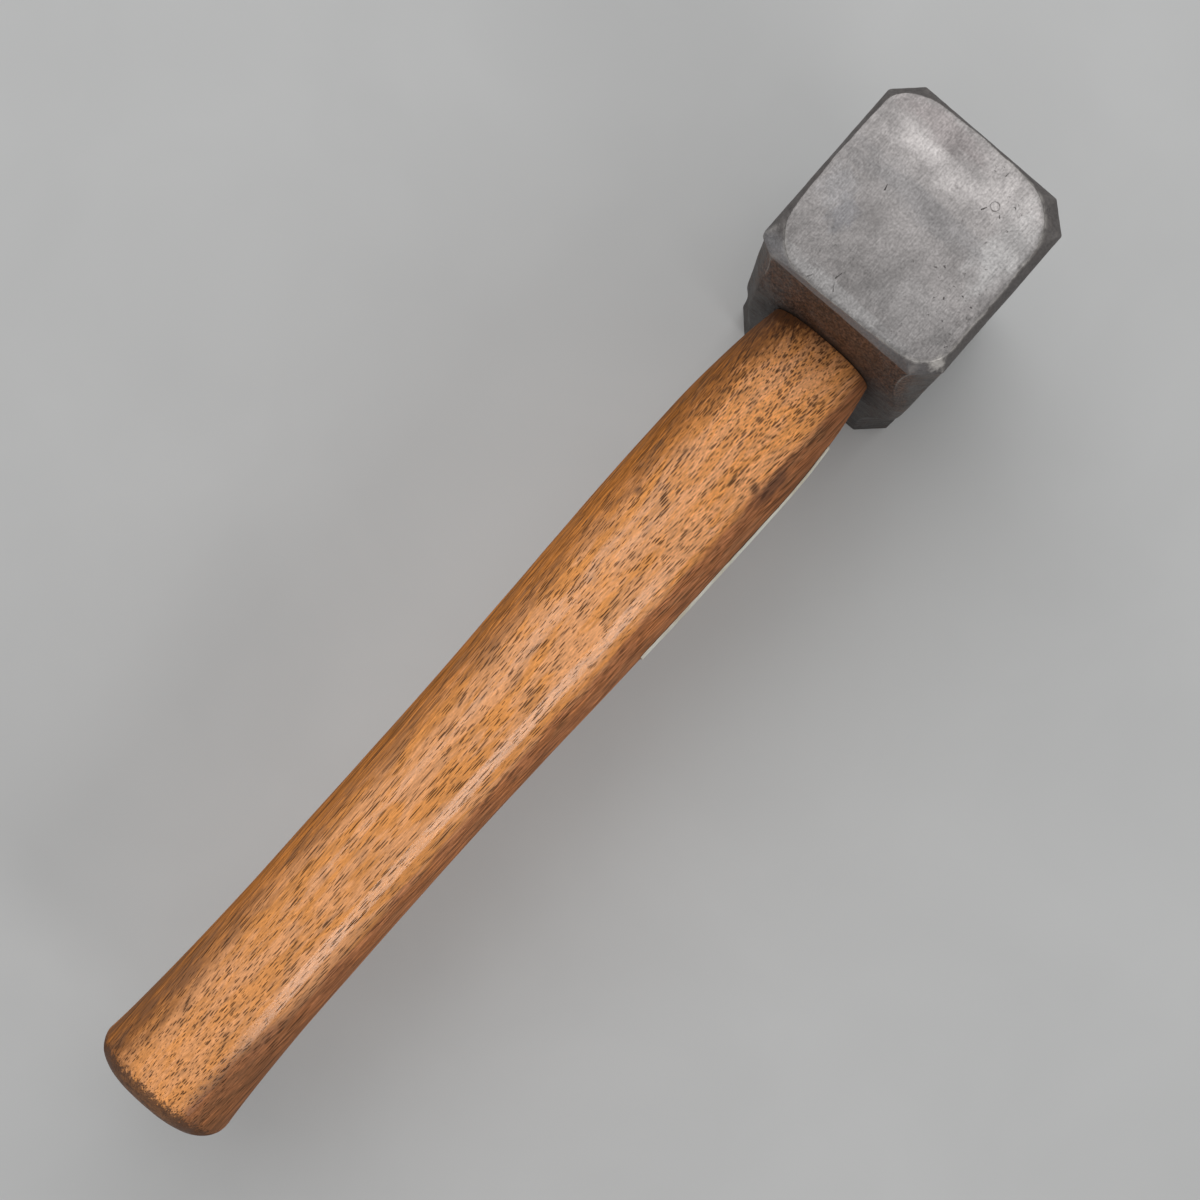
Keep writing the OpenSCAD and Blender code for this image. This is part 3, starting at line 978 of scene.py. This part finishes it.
@shared_group(
    "Wood pores", {"Place": MIDDLE, "Spacing": 0.5, "Radius": 0.12, "Wander": 1.2}, ("Pore", "Halo")
)
def pores(place, spacing, radius, wander):
    """Open pores of a ring-free hardwood, as long tubes along X of the place, and the dirt round them."""
    drift = place.noise((34.0, 9.0, 9.0), result="Color").vector("SUBTRACT", (0.5, 0.5, 0.5))
    drift = drift.place((0.3, 0.35, 1.0)).vector("SCALE", wander)
    _, across, up = place.vector("ADD", drift).parts()
    distance, chance, other = join(across / spacing, up / spacing).cells("2D")
    radius = radius * chance.line(0, 1, 0.45, 1.35)
    radius = radius * place.noise((13.0, 2.5, 2.5), 2, 0.6).ramp(0.36, 0.60, 0.45, 1.15)
    away = distance * spacing / radius
    return away.ramp(0.72, 1.08, 1, 0) * other.line(0, 1, 0.70, 1.0), away.ramp(0.9, 3.4, 1, 0)


@shared_group("Wood fibres", {"Place": MIDDLE, "Width": 0.35, "Length": 9.0}, ("Streak", "Band"))
def fibres(place, width, run):
    """Fine streaks along X of the place, and broader bands."""
    along, across, up = place.parts()
    thin = join(along / run, across / width, up / width)
    return thin.noise(1, 3, 0.6), thin.place((0.35, 0.12, 0.12), shift=(3.0, 1.0, 7.0)).noise(1)


@shared_group(
    "Soft spot", {"Place": MIDDLE, "Middle": MIDDLE, "Size": (1.0, 1.0, 1.0), "Ragged": 0.5}, ("Spot",)
)
def spot(place, middle, size, ragged):
    """A soft-edged oval spot round a middle, 1 inside and 0 outside."""
    away = place.vector("SUBTRACT", middle).vector("DIVIDE", size)
    edge = (away.noise(0.625, 3) - 0.5) * ragged * 2
    return [(away.vector("LENGTH", result="Value") + edge).ramp(0.45, 1.25, 1, 0)]


@shared_group("Scratch", {"Place": MIDDLE, "Start": MIDDLE, "Run": MIDDLE, "Width": 0.15}, ("Scratch",))
def scratch(place, start, run, width):
    """One straight scratch from its start along its run, 1 inside and 0 outside."""
    away = place.vector("SUBTRACT", start)
    square = run.vector("DOT_PRODUCT", run, "Value")
    share = away.vector("DOT_PRODUCT", run, "Value") / square
    held = share.maths("MAXIMUM", 0.0).maths("MINIMUM", 1.0)
    gap = away.vector("DISTANCE", run.vector("SCALE", held), "Value")
    return [(gap / (width * held.line(0, 1, 1.2, 0.6))).ramp(0.4, 1.3, 1, 0)]


@shared_group("Specks", {"Place": MIDDLE, "Spacing": 2.0, "Radius": 0.2}, ("Speck",))
def specks(place, spacing, radius):
    """Scattered round specks, 1 inside and 0 outside."""
    distance, chance, _ = place.vector("DIVIDE", spacing).cells()
    return [(distance / (radius * chance * 1.4 / spacing)).ramp(0.5, 1.2, 1, 0)]


# Materials

def new_material(name):
    """A node material with only its output and shader, its shader and the place in millimetres."""
    material = bpy.data.materials.new(name)
    material.use_nodes = True
    tree = material.node_tree
    tree.nodes.clear()
    shader = add(tree, "ShaderNodeBsdfPrincipled")
    tree.links.new(shader.outputs[0], add(tree, "ShaderNodeOutputMaterial").inputs["Surface"])
    where = Value(add(tree, "ShaderNodeTexCoord").outputs["Object"])
    return material, shader, where.place((1 / MM, 1 / MM, 1 / MM))


def dress(shader, height, **inputs):
    """Feeds a shader's inputs, and bends its normal by a height in millimetres."""
    for name, value in inputs.items():
        feed(shader.inputs[name.replace("_", " ")], value)
    bump = height.add("ShaderNodeBump", {"Height": height, "Distance": MM, "Strength": 1})
    feed(shader.inputs["Normal"], Value(bump.outputs[0]))


# Places along the handle in millimetres: where it starts to hang, where the stains start and the butt
HANG_START = -23.0
NECK = -23.3
BUTT = -244.0
# Dark spots on the wood: middle and size in millimetres
WOOD_SPOTS = (
    ((-57.3, -9.4, 73.5), (1.5, 1.3, 4.0)),
    ((-54.0, -11.8, 70.0), (5.6, 1.9, 4.0)),
    ((-73.9, 9.2, 73.0), (1.2, 0.9, 4.0)),
)
# Fine cracks beside the head, seen from above: width, and then start and run, in millimetres
CRACK_WIDTH = 0.15
WOOD_CRACKS = (
    ((-42.5, 10.9), (10.0, 2.3)),
    ((-37.0, 11.0), (6.5, 1.6)),
    ((-28.5, 5.5), (4.4, 2.4)),
)


def handle_wood():
    """Varnished hardwood with open pores, darker beside the head, round the butt and on the flanks, where the
    darkening is partly painted shade.
    """
    colours = bpy.context.scene.hammer_colours
    sizes = bpy.context.scene.hammer_handle
    material, shader, place = new_material("handle_wood")
    x, y, z = place.parts()
    off_axis = y + (x - HANG_START) * math.tan(sizes.hang)

    # The grain dips towards both ends, so that its pores are cut short there
    head_end = x.decay(NECK, NECK - 32)
    dip = x * math.tan(sizes.grain_slope) + head_end * 11 + x.decay(BUTT, BUTT + 28) * -12
    grain = join(x, y + head_end * 2, z + dip)
    radius = sizes.pore_radius / MM
    grown = x.line(-80, -45, radius, 1.30 * radius)
    pore, halo = grain.use(pores, Spacing=sizes.pore_spacing / MM, Radius=grown, Wander=1.3)
    faint, _ = grain.place(shift=(9, 4, 3)).use(pores, Spacing=0.38, Radius=0.06, Wander=1.4)
    streak, band = grain.use(fibres, Width=0.30, Length=6.5)
    long_streak, _ = grain.place((1, 1, 0.45), shift=(5, 2, 8)).use(fibres, Width=0.36, Length=17.0)
    patches = grain.noise((17.0, 2.8, 4.0), 3, 0.55, 0.4)
    dirt = grain.noise((9.0, 2.4, 2.4), 3, 0.6, 0.3)
    ragged = grain.noise((2.4, 0.7, 0.7), 3, 0.65)
    grit = place.noise((0.6, 0.3, 0.3), 2, 0.6)

    # Varnished wood, with flanks darkened partly by painted shade
    orange = patches.ramp(0.42, 0.58) * x.ramp(-85, -45, 1, 0.65) * x.ramp(-190, -222, 1, 0.6)
    # upper and lower mark the two flanks, whose darker colours are partly the wood's own and partly painted
    # shade
    upper = (off_axis + dirt.around(-1.5, 1.5)).ramp(6.5, 12.5)
    handled = x.ramp(-200, -228, 0, -2.6)
    lower = (off_axis + handled + dirt.around(-0.8, 0.8)).ramp(-9.8, -12.0)
    flank = most(upper, lower)
    base = orange.blend(colours.wood_light, colours.wood_orange)
    base = layered(base, (upper * 0.90, colours.wood_upper_flank_shaded), (lower * 0.85, colours.wood_lower_flank_shaded))
    tone = (
        streak.line(0.28, 0.72, 0.66, 1.26)
        * flank.line(0, 1, 1, long_streak.line(0.32, 0.68, 0.44, 1.46))
        * band.around(0.93, 1.06)
        * grit.line(0.25, 0.75, 0.86, 1.14)
        * x.ramp(-100, -75, 1, 0.95)
        * flank.line(0, 1, x.ramp(-62, -38, 1, 1.20), x.ramp(-80, -35, 1, 0.80))
    )

    # Dirt, stains, spots and cracks
    haze = dirt.ramp(0.46, 0.66) * halo.line(0, 1, 0.12, 0.50)
    palm = x.ramp(-190, -226) * off_axis.maths("ABSOLUTE").ramp(4, 11) * dirt.line(0.35, 0.60, 0.30, 0.90)
    side = off_axis.ramp(-6, 11, 0.75, 1.9)
    grimy = off_axis.ramp(2, 11) * head_end ** 1.4 * dirt.line(0.35, 0.65, 0.3, 0.95)
    stain = x.decay(NECK, NECK - 2.5) * 0.50
    stain = stain + x.decay(NECK, NECK - 10) * side * ragged.around(0.1, 0.6) + grimy * 0.55
    spots = [place.use(spot, Middle=middle, Size=size, Ragged=0.6) for middle, size in WOOD_SPOTS]
    from_above = join(x, y)
    cracks = [
        from_above.use(scratch, Start=(*start, 0.0), Run=(*run, 0.0), Width=CRACK_WIDTH)
        for start, run in WOOD_CRACKS
    ]
    cracked = most(*cracks) * z.ramp(58, 64) * ragged.line(0.35, 0.6, 0.3, 0.9)
    by_butt = (x + ragged.line(0.25, 0.75, -2, 2)).ramp(BUTT + 5, BUTT + 6, 1, 0)
    by_butt = by_butt * place.noise(1.4, 3).around(0.72, 1.0)

    # Sawn end of the tongue
    end = x.ramp(WOOD_END / MM - 0.5, WOOD_END / MM - 0.2)
    layers = place.place(turn=(math.radians(22), 0, 0)).noise((60.0, 0.7, 9.0), 3, 0.6, 0.4)
    sawn = layers.ramp(0.40, 0.58).blend(colours.end_light, colours.end_dark)
    sawn = grit.around(0.75, 1.25).shade((halo * 0.5).blend(sawn, colours.end_dirt))

    base = layered(
        tone.shade(base),
        (haze, colours.wood_haze),
        (palm * 0.85, colours.wood_palm),
        (stain, colours.wood_stain),
        (most(*spots) * 0.62, colours.wood_spot),
        (cracked, colours.wood_pore),
        (faint * 0.40, colours.wood_pore),
        (pore * 0.92, colours.wood_pore),
        (by_butt, colours.wood_butt),
        (end, sawn),
    )
    flanks = most(off_axis.ramp(9, 14), off_axis.ramp(-9.5, -12.5))
    gripped = x.ramp(-206, -226, 0, 0.85)
    rubbed = x.ramp(-95, -50, 0, 0.85)
    dull = most(by_butt * 0.9, pore, flanks, stain, gripped, rubbed)
    dress(
        shader,
        pore * -0.05 + streak * 0.02 + by_butt * ragged * 0.35,
        Base_Color=base,
        Roughness=dull.line(0, 1, 0.50, 0.85),
        Coat_Weight=dull.line(0, 1, 0.85, 0),
        Coat_Roughness=0.12,
        Specular_IOR_Level=0.15,
    )
    return material


# Height of the upper striking face, and how deep the shades on it reach, in millimetres
FACE_Z = HEAD_LENGTH / MM
SHADE_DEPTH = 5.0
# Soft shades on the upper striking face: middle and size in millimetres, strength and colour. They are partly
# the ground steel's own mottling and partly painted reflection of the lamps, where they lighten the face
# towards +X and -Y
FACE_SHADES = (
    ((-21.0, 3.0), (2.4, 17.0), 0.50, (0.360, 0.353, 0.350)),
    ((4.0, 2.0), (3.4, 19.0), 0.60, (0.170, 0.165, 0.166)),
    ((-7.8, 13.1), (4.5, 2.6), 0.40, (0.170, 0.174, 0.190)),
    ((12.5, 4.9), (3.6, 14.0), 0.62, (0.350, 0.330, 0.325)),
    ((-4.0, 17.5), (5.0, 3.4), 0.35, (0.330, 0.326, 0.334)),
    ((18.6, 9.5), (3.4, 11.0), 0.55, (0.205, 0.182, 0.180)),
    ((-14.0, -9.0), (8.0, 10.0), 0.45, (0.190, 0.183, 0.181)),
    ((8.0, -16.0), (12.0, 4.5), 0.50, (0.385, 0.378, 0.374)),
    ((15.0, -10.0), (7.0, 8.0), 0.40, (0.345, 0.325, 0.320)),
)
# Scratches on the upper striking face: start, run and width in millimetres
FACE_SCRATCHES = (
    ((-22.1, 10.3), (1.4, -0.8), 0.15),
    ((-21.0, 4.4), (1.1, 0.9), 0.12),
    ((-18.6, 5.8), (1.4, -0.3), 0.14),
    ((1.3, 10.0), (1.1, 0.3), 0.11),
    ((11.0, -7.2), (1.0, -0.5), 0.12),
    ((19.3, -6.5), (2.2, -0.2), 0.10),
)
# Rubbed corner of the upper striking face, polished and with a painted highlight: middle and size in
# millimetres
CORNER_POLISH_AND_GLINT = ((-18.4, -20.8, 109.5), (2.0, 1.2, 2.5))
# Ring that a small tube left on the upper striking face: middle and radius in millimetres
RING_MIDDLE = (13.2, -8.9, 0.0)
RING_RADIUS = 0.95
# Half-width and half-height of the oval round the eye from which the painted shadow fades, in millimetres
EYE_SHADOW_OVAL = (13.4, 19.4)


def head_steel():
    """Forged steel: ground faces with painted reflection, dark bevels and sides with painted shade towards
    the floor, rust beside the handle, painted shadow round the eye and bright worn edges with painted
    highlights.
    """
    colours = bpy.context.scene.hammer_colours
    material, shader, place = new_material("head_steel")
    x, y, z = place.parts()
    flat, bevel, rim, crease = (
        Value(place.add("ShaderNodeAttribute", attribute_name=name).outputs["Fac"])
        for name in ("flat", "bevel", "rim", "crease")
    )
    clouds = place.noise(8, 4, 0.6, 0.5)
    blotches = place.noise(2.2, 4, 0.65, 0.3)
    brush = place.noise((2.6, 0.26, 0.5), 3, 0.6)
    grit = place.noise(0.55, 3, 0.7)
    grain = place.noise((0.50, 0.50, 1.5), 2, 0.7)
    mottle = place.noise((3.0, 3.0, 4.5), 3, 0.55, 0.5)
    drawn = place.noise((0.45, 0.45, 18.0))

    # Ground faces, painted lighter towards +X and -Y as a reflection of the lamps
    tone = clouds.around(0.76, 1.25) * blotches.around(0.84, 1.15) * brush.line(0.25, 0.75, 0.78, 1.20)
    # The lines along x and y are a painted reflection: the face lighter towards +X and towards -Y
    tone = tone * grit.around(0.74, 1.26) * x.line(-21, 21, 0.78, 1.20) * y.line(21, -21, 0.94, 1.10)
    ground = tone.shade(colours.steel_ground)
    for middle, size, amount, tint in FACE_SHADES:
        share = place.use(spot, Middle=(*middle, FACE_Z), Size=(*size, SHADE_DEPTH), Ragged=0.9) * amount
        ground = share.blend(ground, tone.shade(tint))

    # Forged sides, with rust beside the handle, painted shadow round the eye and painted shade towards the
    # floor
    skin_tone_and_shade = clouds.around(0.72, 1.28) * mottle.line(0.32, 0.68, 0.80, 1.22)
    skin_tone_and_shade = skin_tone_and_shade * grain.line(0.32, 0.68, 0.74, 1.26) * drawn.line(0.35, 0.65, 0.93, 1.07)
    # Painted shade: the sides darker towards the floor
    skin_tone_and_shade = skin_tone_and_shade * z.ramp(20, 100, 0.50, 1)
    sides = mottle.ramp(0.50, 0.68, 0, 0.7).blend(colours.steel_forged, colours.steel_brown)
    by_handle = x.ramp(-21.0, -22.6)
    rusty = place.noise(7, 4, 0.65).ramp(0.30, 0.52, 0.55, 1) * z.ramp(58, 84)
    rust = (skin_tone_and_shade * grain.line(0.36, 0.64, 0.15, 1.85)).shade(colours.steel_rust)
    freckle = place.place((1.2, 1.2, 0.7)).use(specks, Spacing=0.8, Radius=0.34)
    rust = (freckle * 0.65).blend(rust, colours.steel_freckle)
    # Painted shadow round the eye, where the handle meets the head
    oval = join(y / EYE_SHADOW_OVAL[0], (z - EYE_Z / MM) / EYE_SHADOW_OVAL[1]).vector("LENGTH", result="Value")
    eye_shadow = (oval + blotches.around(-0.04, 0.04)).ramp(1.02, 1.42, 1, 0) * by_handle
    sides = layered(skin_tone_and_shade.shade(sides), (by_handle * rusty, rust), (eye_shadow * 0.88, colours.steel_eye_shadow))

    # Ground bevels, and worn edges brightened partly as polish and partly as painted highlight
    by_side = x.ramp(-18.0, -21.5) * y.ramp(-16, -8, 0.35, 1)
    tint = by_side.blend(colours.steel_bevel_dark, colours.steel_bevel)
    bevel_skin = (blotches.around(0.78, 1.18) * grit.around(0.78, 1.22)).shade(tint)
    bevel_skin = blotches.around(1.0, 0.7).blend(sides, bevel_skin)
    worn_at = place.noise(1.3, 3, 0.6).line(0.3, 0.65, 0.1, 1)
    # The rim towards -Y and the near side, and the upper creases, are polished and also carry a painted
    # highlight where the lamps would glint on them
    rim_polish_and_glint = rim * most(y.ramp(12, -8, 0.15, 1), x.ramp(-14, -20, 0, 0.8))
    edges = most(rim_polish_and_glint * 0.8, crease * x.ramp(-8, -18, 0.20, 0.5) * z.ramp(78, 100))
    sides = layered(sides, (bevel, bevel_skin), (edges * worn_at, colours.steel_polish_and_glint))
    ground = (rim_polish_and_glint * worn_at * 0.55).blend(ground, colours.steel_polish_and_glint)

    # Pits, the small ring and the scratches
    pits = place.noise(0.9, 3, 0.6, 0.6).ramp(0.65, 0.73)
    pits = pits * place.noise(7).ramp(0.45, 0.58) * y.ramp(2, -14, 0.15, 1)
    off_ring = (join(x, y).vector("DISTANCE", RING_MIDDLE, "Value") - RING_RADIUS).maths("ABSOLUTE")
    ring_mark = off_ring.ramp(0.04, 0.15, 1, 0) * blotches.line(0.4, 0.6, 0.1, 0.8)
    cuts = [
        place.use(scratch, Start=(*start, FACE_Z), Run=(*run, 0.0), Width=width)
        for start, run, width in FACE_SCRATCHES
    ]
    marks = most(pits, ring_mark, *cuts)
    corner, corner_size = CORNER_POLISH_AND_GLINT
    # The rubbed corner is polished steel with a painted highlight over it
    rubbed = place.use(spot, Middle=corner, Size=corner_size, Ragged=0.9)
    base = layered(
        flat.blend(sides, ground), (rubbed * 0.75, colours.steel_polish_and_glint), (marks * 0.75, colours.steel_mark)
    )

    bumps = (grit * 0.10 + blotches * 0.30 + mottle * 0.5) * flat.line(0, 1, 1, 0.15)
    rough_flat = blotches.around(0.40, 0.52) + marks * 0.2
    dress(
        shader,
        bumps + brush * flat * 0.012 - marks * 0.10,
        Base_Color=base,
        Metallic=most(flat, edges * 0.9).line(0, 1, 0.45, 0.92),
        Roughness=most(flat, edges).line(0, 1, mottle.around(0.50, 0.68), rough_flat),
    )
    return material


def wedge_wood():
    """Sawn pale wood with dirt in its pores."""
    colours = bpy.context.scene.hammer_colours
    material, shader, place = new_material("wedge_wood")
    streak, _ = place.use(fibres, Width=0.4, Length=8.0)
    pore, _ = place.use(pores, Spacing=1.1, Radius=0.14, Wander=0.6)
    dirt = place.noise(3, 4, 0.65).ramp(0.42, 0.62, 0, 0.55)
    base = streak.line(0.25, 0.75, 0.7, 1.25).shade(colours.wedge_wood)
    base = layered(base, (dirt, colours.wedge_dirt), (pore * 0.7, colours.wedge_pore))
    dress(shader, streak * 0.10 + pore * -0.10, Base_Color=base, Roughness=dirt.line(0, 1, 0.62, 0.85))
    return material


def wedge_steel():
    """Dull hammered steel with rust in its hollows."""
    colours = bpy.context.scene.hammer_colours
    material, shader, place = new_material("wedge_steel")
    lumps = place.noise(1.2, 4, 0.6)
    grit = place.noise(0.35, 3, 0.7)
    rust = lumps.ramp(0.45, 0.70, 0.15, 0.8)
    freckle = place.use(specks, Spacing=0.8, Radius=0.3)
    base = grit.around(0.8, 1.2).shade(colours.wedge_steel)
    base = layered(base, (rust * 0.8, colours.steel_rust), (freckle * 0.4, colours.wedge_freckle))
    dress(
        shader,
        lumps * 0.4 + grit * 0.08,
        Base_Color=base,
        Metallic=rust.line(0, 1, 0.85, 0.35),
        Roughness=rust.line(0, 1, 0.45, 0.8),
    )
    return material


def label_paper():
    """Blank paper, aged and stained, with its fibres showing where it has worn."""
    colours = bpy.context.scene.hammer_colours
    material, shader, place = new_material("label_paper")
    clouds = place.noise(9, 4, 0.6, 0.5)
    fleck = place.noise((0.9, 0.5, 0.5), 4, 0.7)
    stain = place.use(specks, Spacing=5.5, Radius=0.7)
    base = layered(
        clouds.ramp(0.42, 0.68, 0, 0.6).blend(colours.paper, colours.paper_aged),
        (fleck.ramp(0.58, 0.72, 0, 0.6), colours.paper_worn),
        (stain * 0.5, colours.paper_stain),
    )
    dress(shader, fleck * 0.05 + clouds * 0.08, Base_Color=base, Roughness=fleck.around(0.55, 0.8))
    return material


# Middle of the floor's lit part, and where its far tone starts and is full, in millimetres
FLOOR_MIDDLE = (-110.0, 0.0, 0.0)
FAR_START, FAR_END = 350, 1500


def floor_paint():
    """Plain pale matt floor with hardly visible smudges."""
    colours = bpy.context.scene.hammer_colours
    material, shader, place = new_material("floor_paint")
    clouds = place.noise(60, 3, 0.55, 0.4)
    away = place.vector("DISTANCE", FLOOR_MIDDLE, "Value")
    base = away.ramp(FAR_START, FAR_END).blend(colours.floor, colours.floor_far)
    feed(shader.inputs["Base Color"], clouds.around(0.975, 1.025).shade(base))
    shader.inputs["Roughness"].default_value = 0.9
    shader.inputs["Specular IOR Level"].default_value = 0.1
    return material


# Stage

# Key and strip lamp: name, width and height, target, bearing and height in degrees, and distance
LAMPS = (
    ("key", (1.1, 1.1), (-0.10, 0, 0.05), 36, 62, 1.15),
    ("strip", (0.36, 0.66), (-0.280, 0, 0.07), -90, 41.5, 1.4),
)


def soft_lamp(power, name, size, target, bearing, height, distance):
    """A rectangular lamp that faces a target from a bearing and a height in degrees."""
    lamp = bpy.data.lights.new(name, "AREA")
    lamp.shape = "RECTANGLE"
    lamp.size, lamp.size_y = size
    lamp.energy = power
    item = bpy.data.objects.new(name, lamp)
    level = math.cos(math.radians(height))
    bearing = math.radians(bearing)
    away = Vector((math.cos(bearing) * level, math.sin(bearing) * level, math.sin(math.radians(height))))
    item.location = Vector(target) + away * distance
    item.rotation_euler = away.to_track_quat("Z", "Y").to_euler()
    bpy.context.scene.collection.objects.link(item)


class HAMMER_OT_stage(bpy.types.Operator):
    """Lays the floor and sets the lamps and the camera"""

    bl_idname = "hammer.stage"
    bl_label = "Stage"

    def execute(self, context):
        scene = context.scene
        sizes = scene.hammer_stage
        bm = bmesh.new()
        bmesh.ops.create_grid(bm, x_segments=8, y_segments=8, size=sizes.floor_size / 2)
        floor = piece_from(bm, "floor", floor_paint(), 40)

        for power, lamp in zip((sizes.key_light, sizes.strip_light), LAMPS):
            soft_lamp(power, *lamp)

        world = bpy.data.worlds.new("studio")
        world.use_nodes = True
        background = world.node_tree.nodes["Background"]
        background.inputs["Color"].default_value = (1, 1, 1, 1)
        seen = Value(add(world.node_tree, "ShaderNodeLightPath").outputs["Is Camera Ray"])
        feed(background.inputs["Strength"], seen.line(0, 1, sizes.world_light, sizes.backdrop))
        scene.world = world

        lens = bpy.data.cameras.new("camera")
        lens.lens = sizes.lens
        lens.sensor_fit = "HORIZONTAL"
        lens.sensor_width = 36
        camera = bpy.data.objects.new("camera", lens)
        camera.location = sizes.camera_place
        camera.rotation_euler = sizes.camera_turn
        scene.collection.objects.link(camera)
        scene.camera = camera
        scene.view_settings.view_transform = "Standard"
        return {"FINISHED"}


OPERATORS = (HAMMER_OT_head, HAMMER_OT_handle, HAMMER_OT_wedges, HAMMER_OT_label, HAMMER_OT_stage)
SETTINGS = {
    "hammer_head": HeadSizes,
    "hammer_handle": HandleSizes,
    "hammer_wedges": WedgeSizes,
    "hammer_label": LabelSizes,
    "hammer_colours": Colours,
    "hammer_stage": StageSizes,
}


class HAMMER_PT_panel(bpy.types.Panel):
    """Lists the pieces of the hammer with their sizes and colours"""

    bl_idname = "HAMMER_PT_panel"
    bl_label = "Club Hammer"
    bl_space_type = "VIEW_3D"
    bl_region_type = "UI"
    bl_category = "Club Hammer"

    def draw(self, context):
        for operator in OPERATORS:
            self.layout.operator(operator.bl_idname)
        for name, settings in SETTINGS.items():
            box = self.layout.box()
            box.label(text=settings.__doc__)
            for prop in settings.__annotations__:
                box.prop(getattr(context.scene, name), prop)


def register():
    """Adds the classes and the scene's settings."""
    for name, settings in SETTINGS.items():
        bpy.utils.register_class(settings)
        setattr(bpy.types.Scene, name, PointerProperty(type=settings))
    for item in OPERATORS + (HAMMER_PT_panel,):
        bpy.utils.register_class(item)


def unregister():
    """Takes the classes and the scene's settings away again."""
    for item in (HAMMER_PT_panel,) + OPERATORS[::-1]:
        bpy.utils.unregister_class(item)
    for name, settings in SETTINGS.items():
        delattr(bpy.types.Scene, name)
        bpy.utils.unregister_class(settings)


def main():
    """Builds the hammer on its stage."""
    register()
    bpy.ops.hammer.stage()
    bpy.ops.hammer.head()
    bpy.ops.hammer.handle()
    bpy.ops.hammer.wedges()
    bpy.ops.hammer.label()


if __name__ == "__main__":
    main()
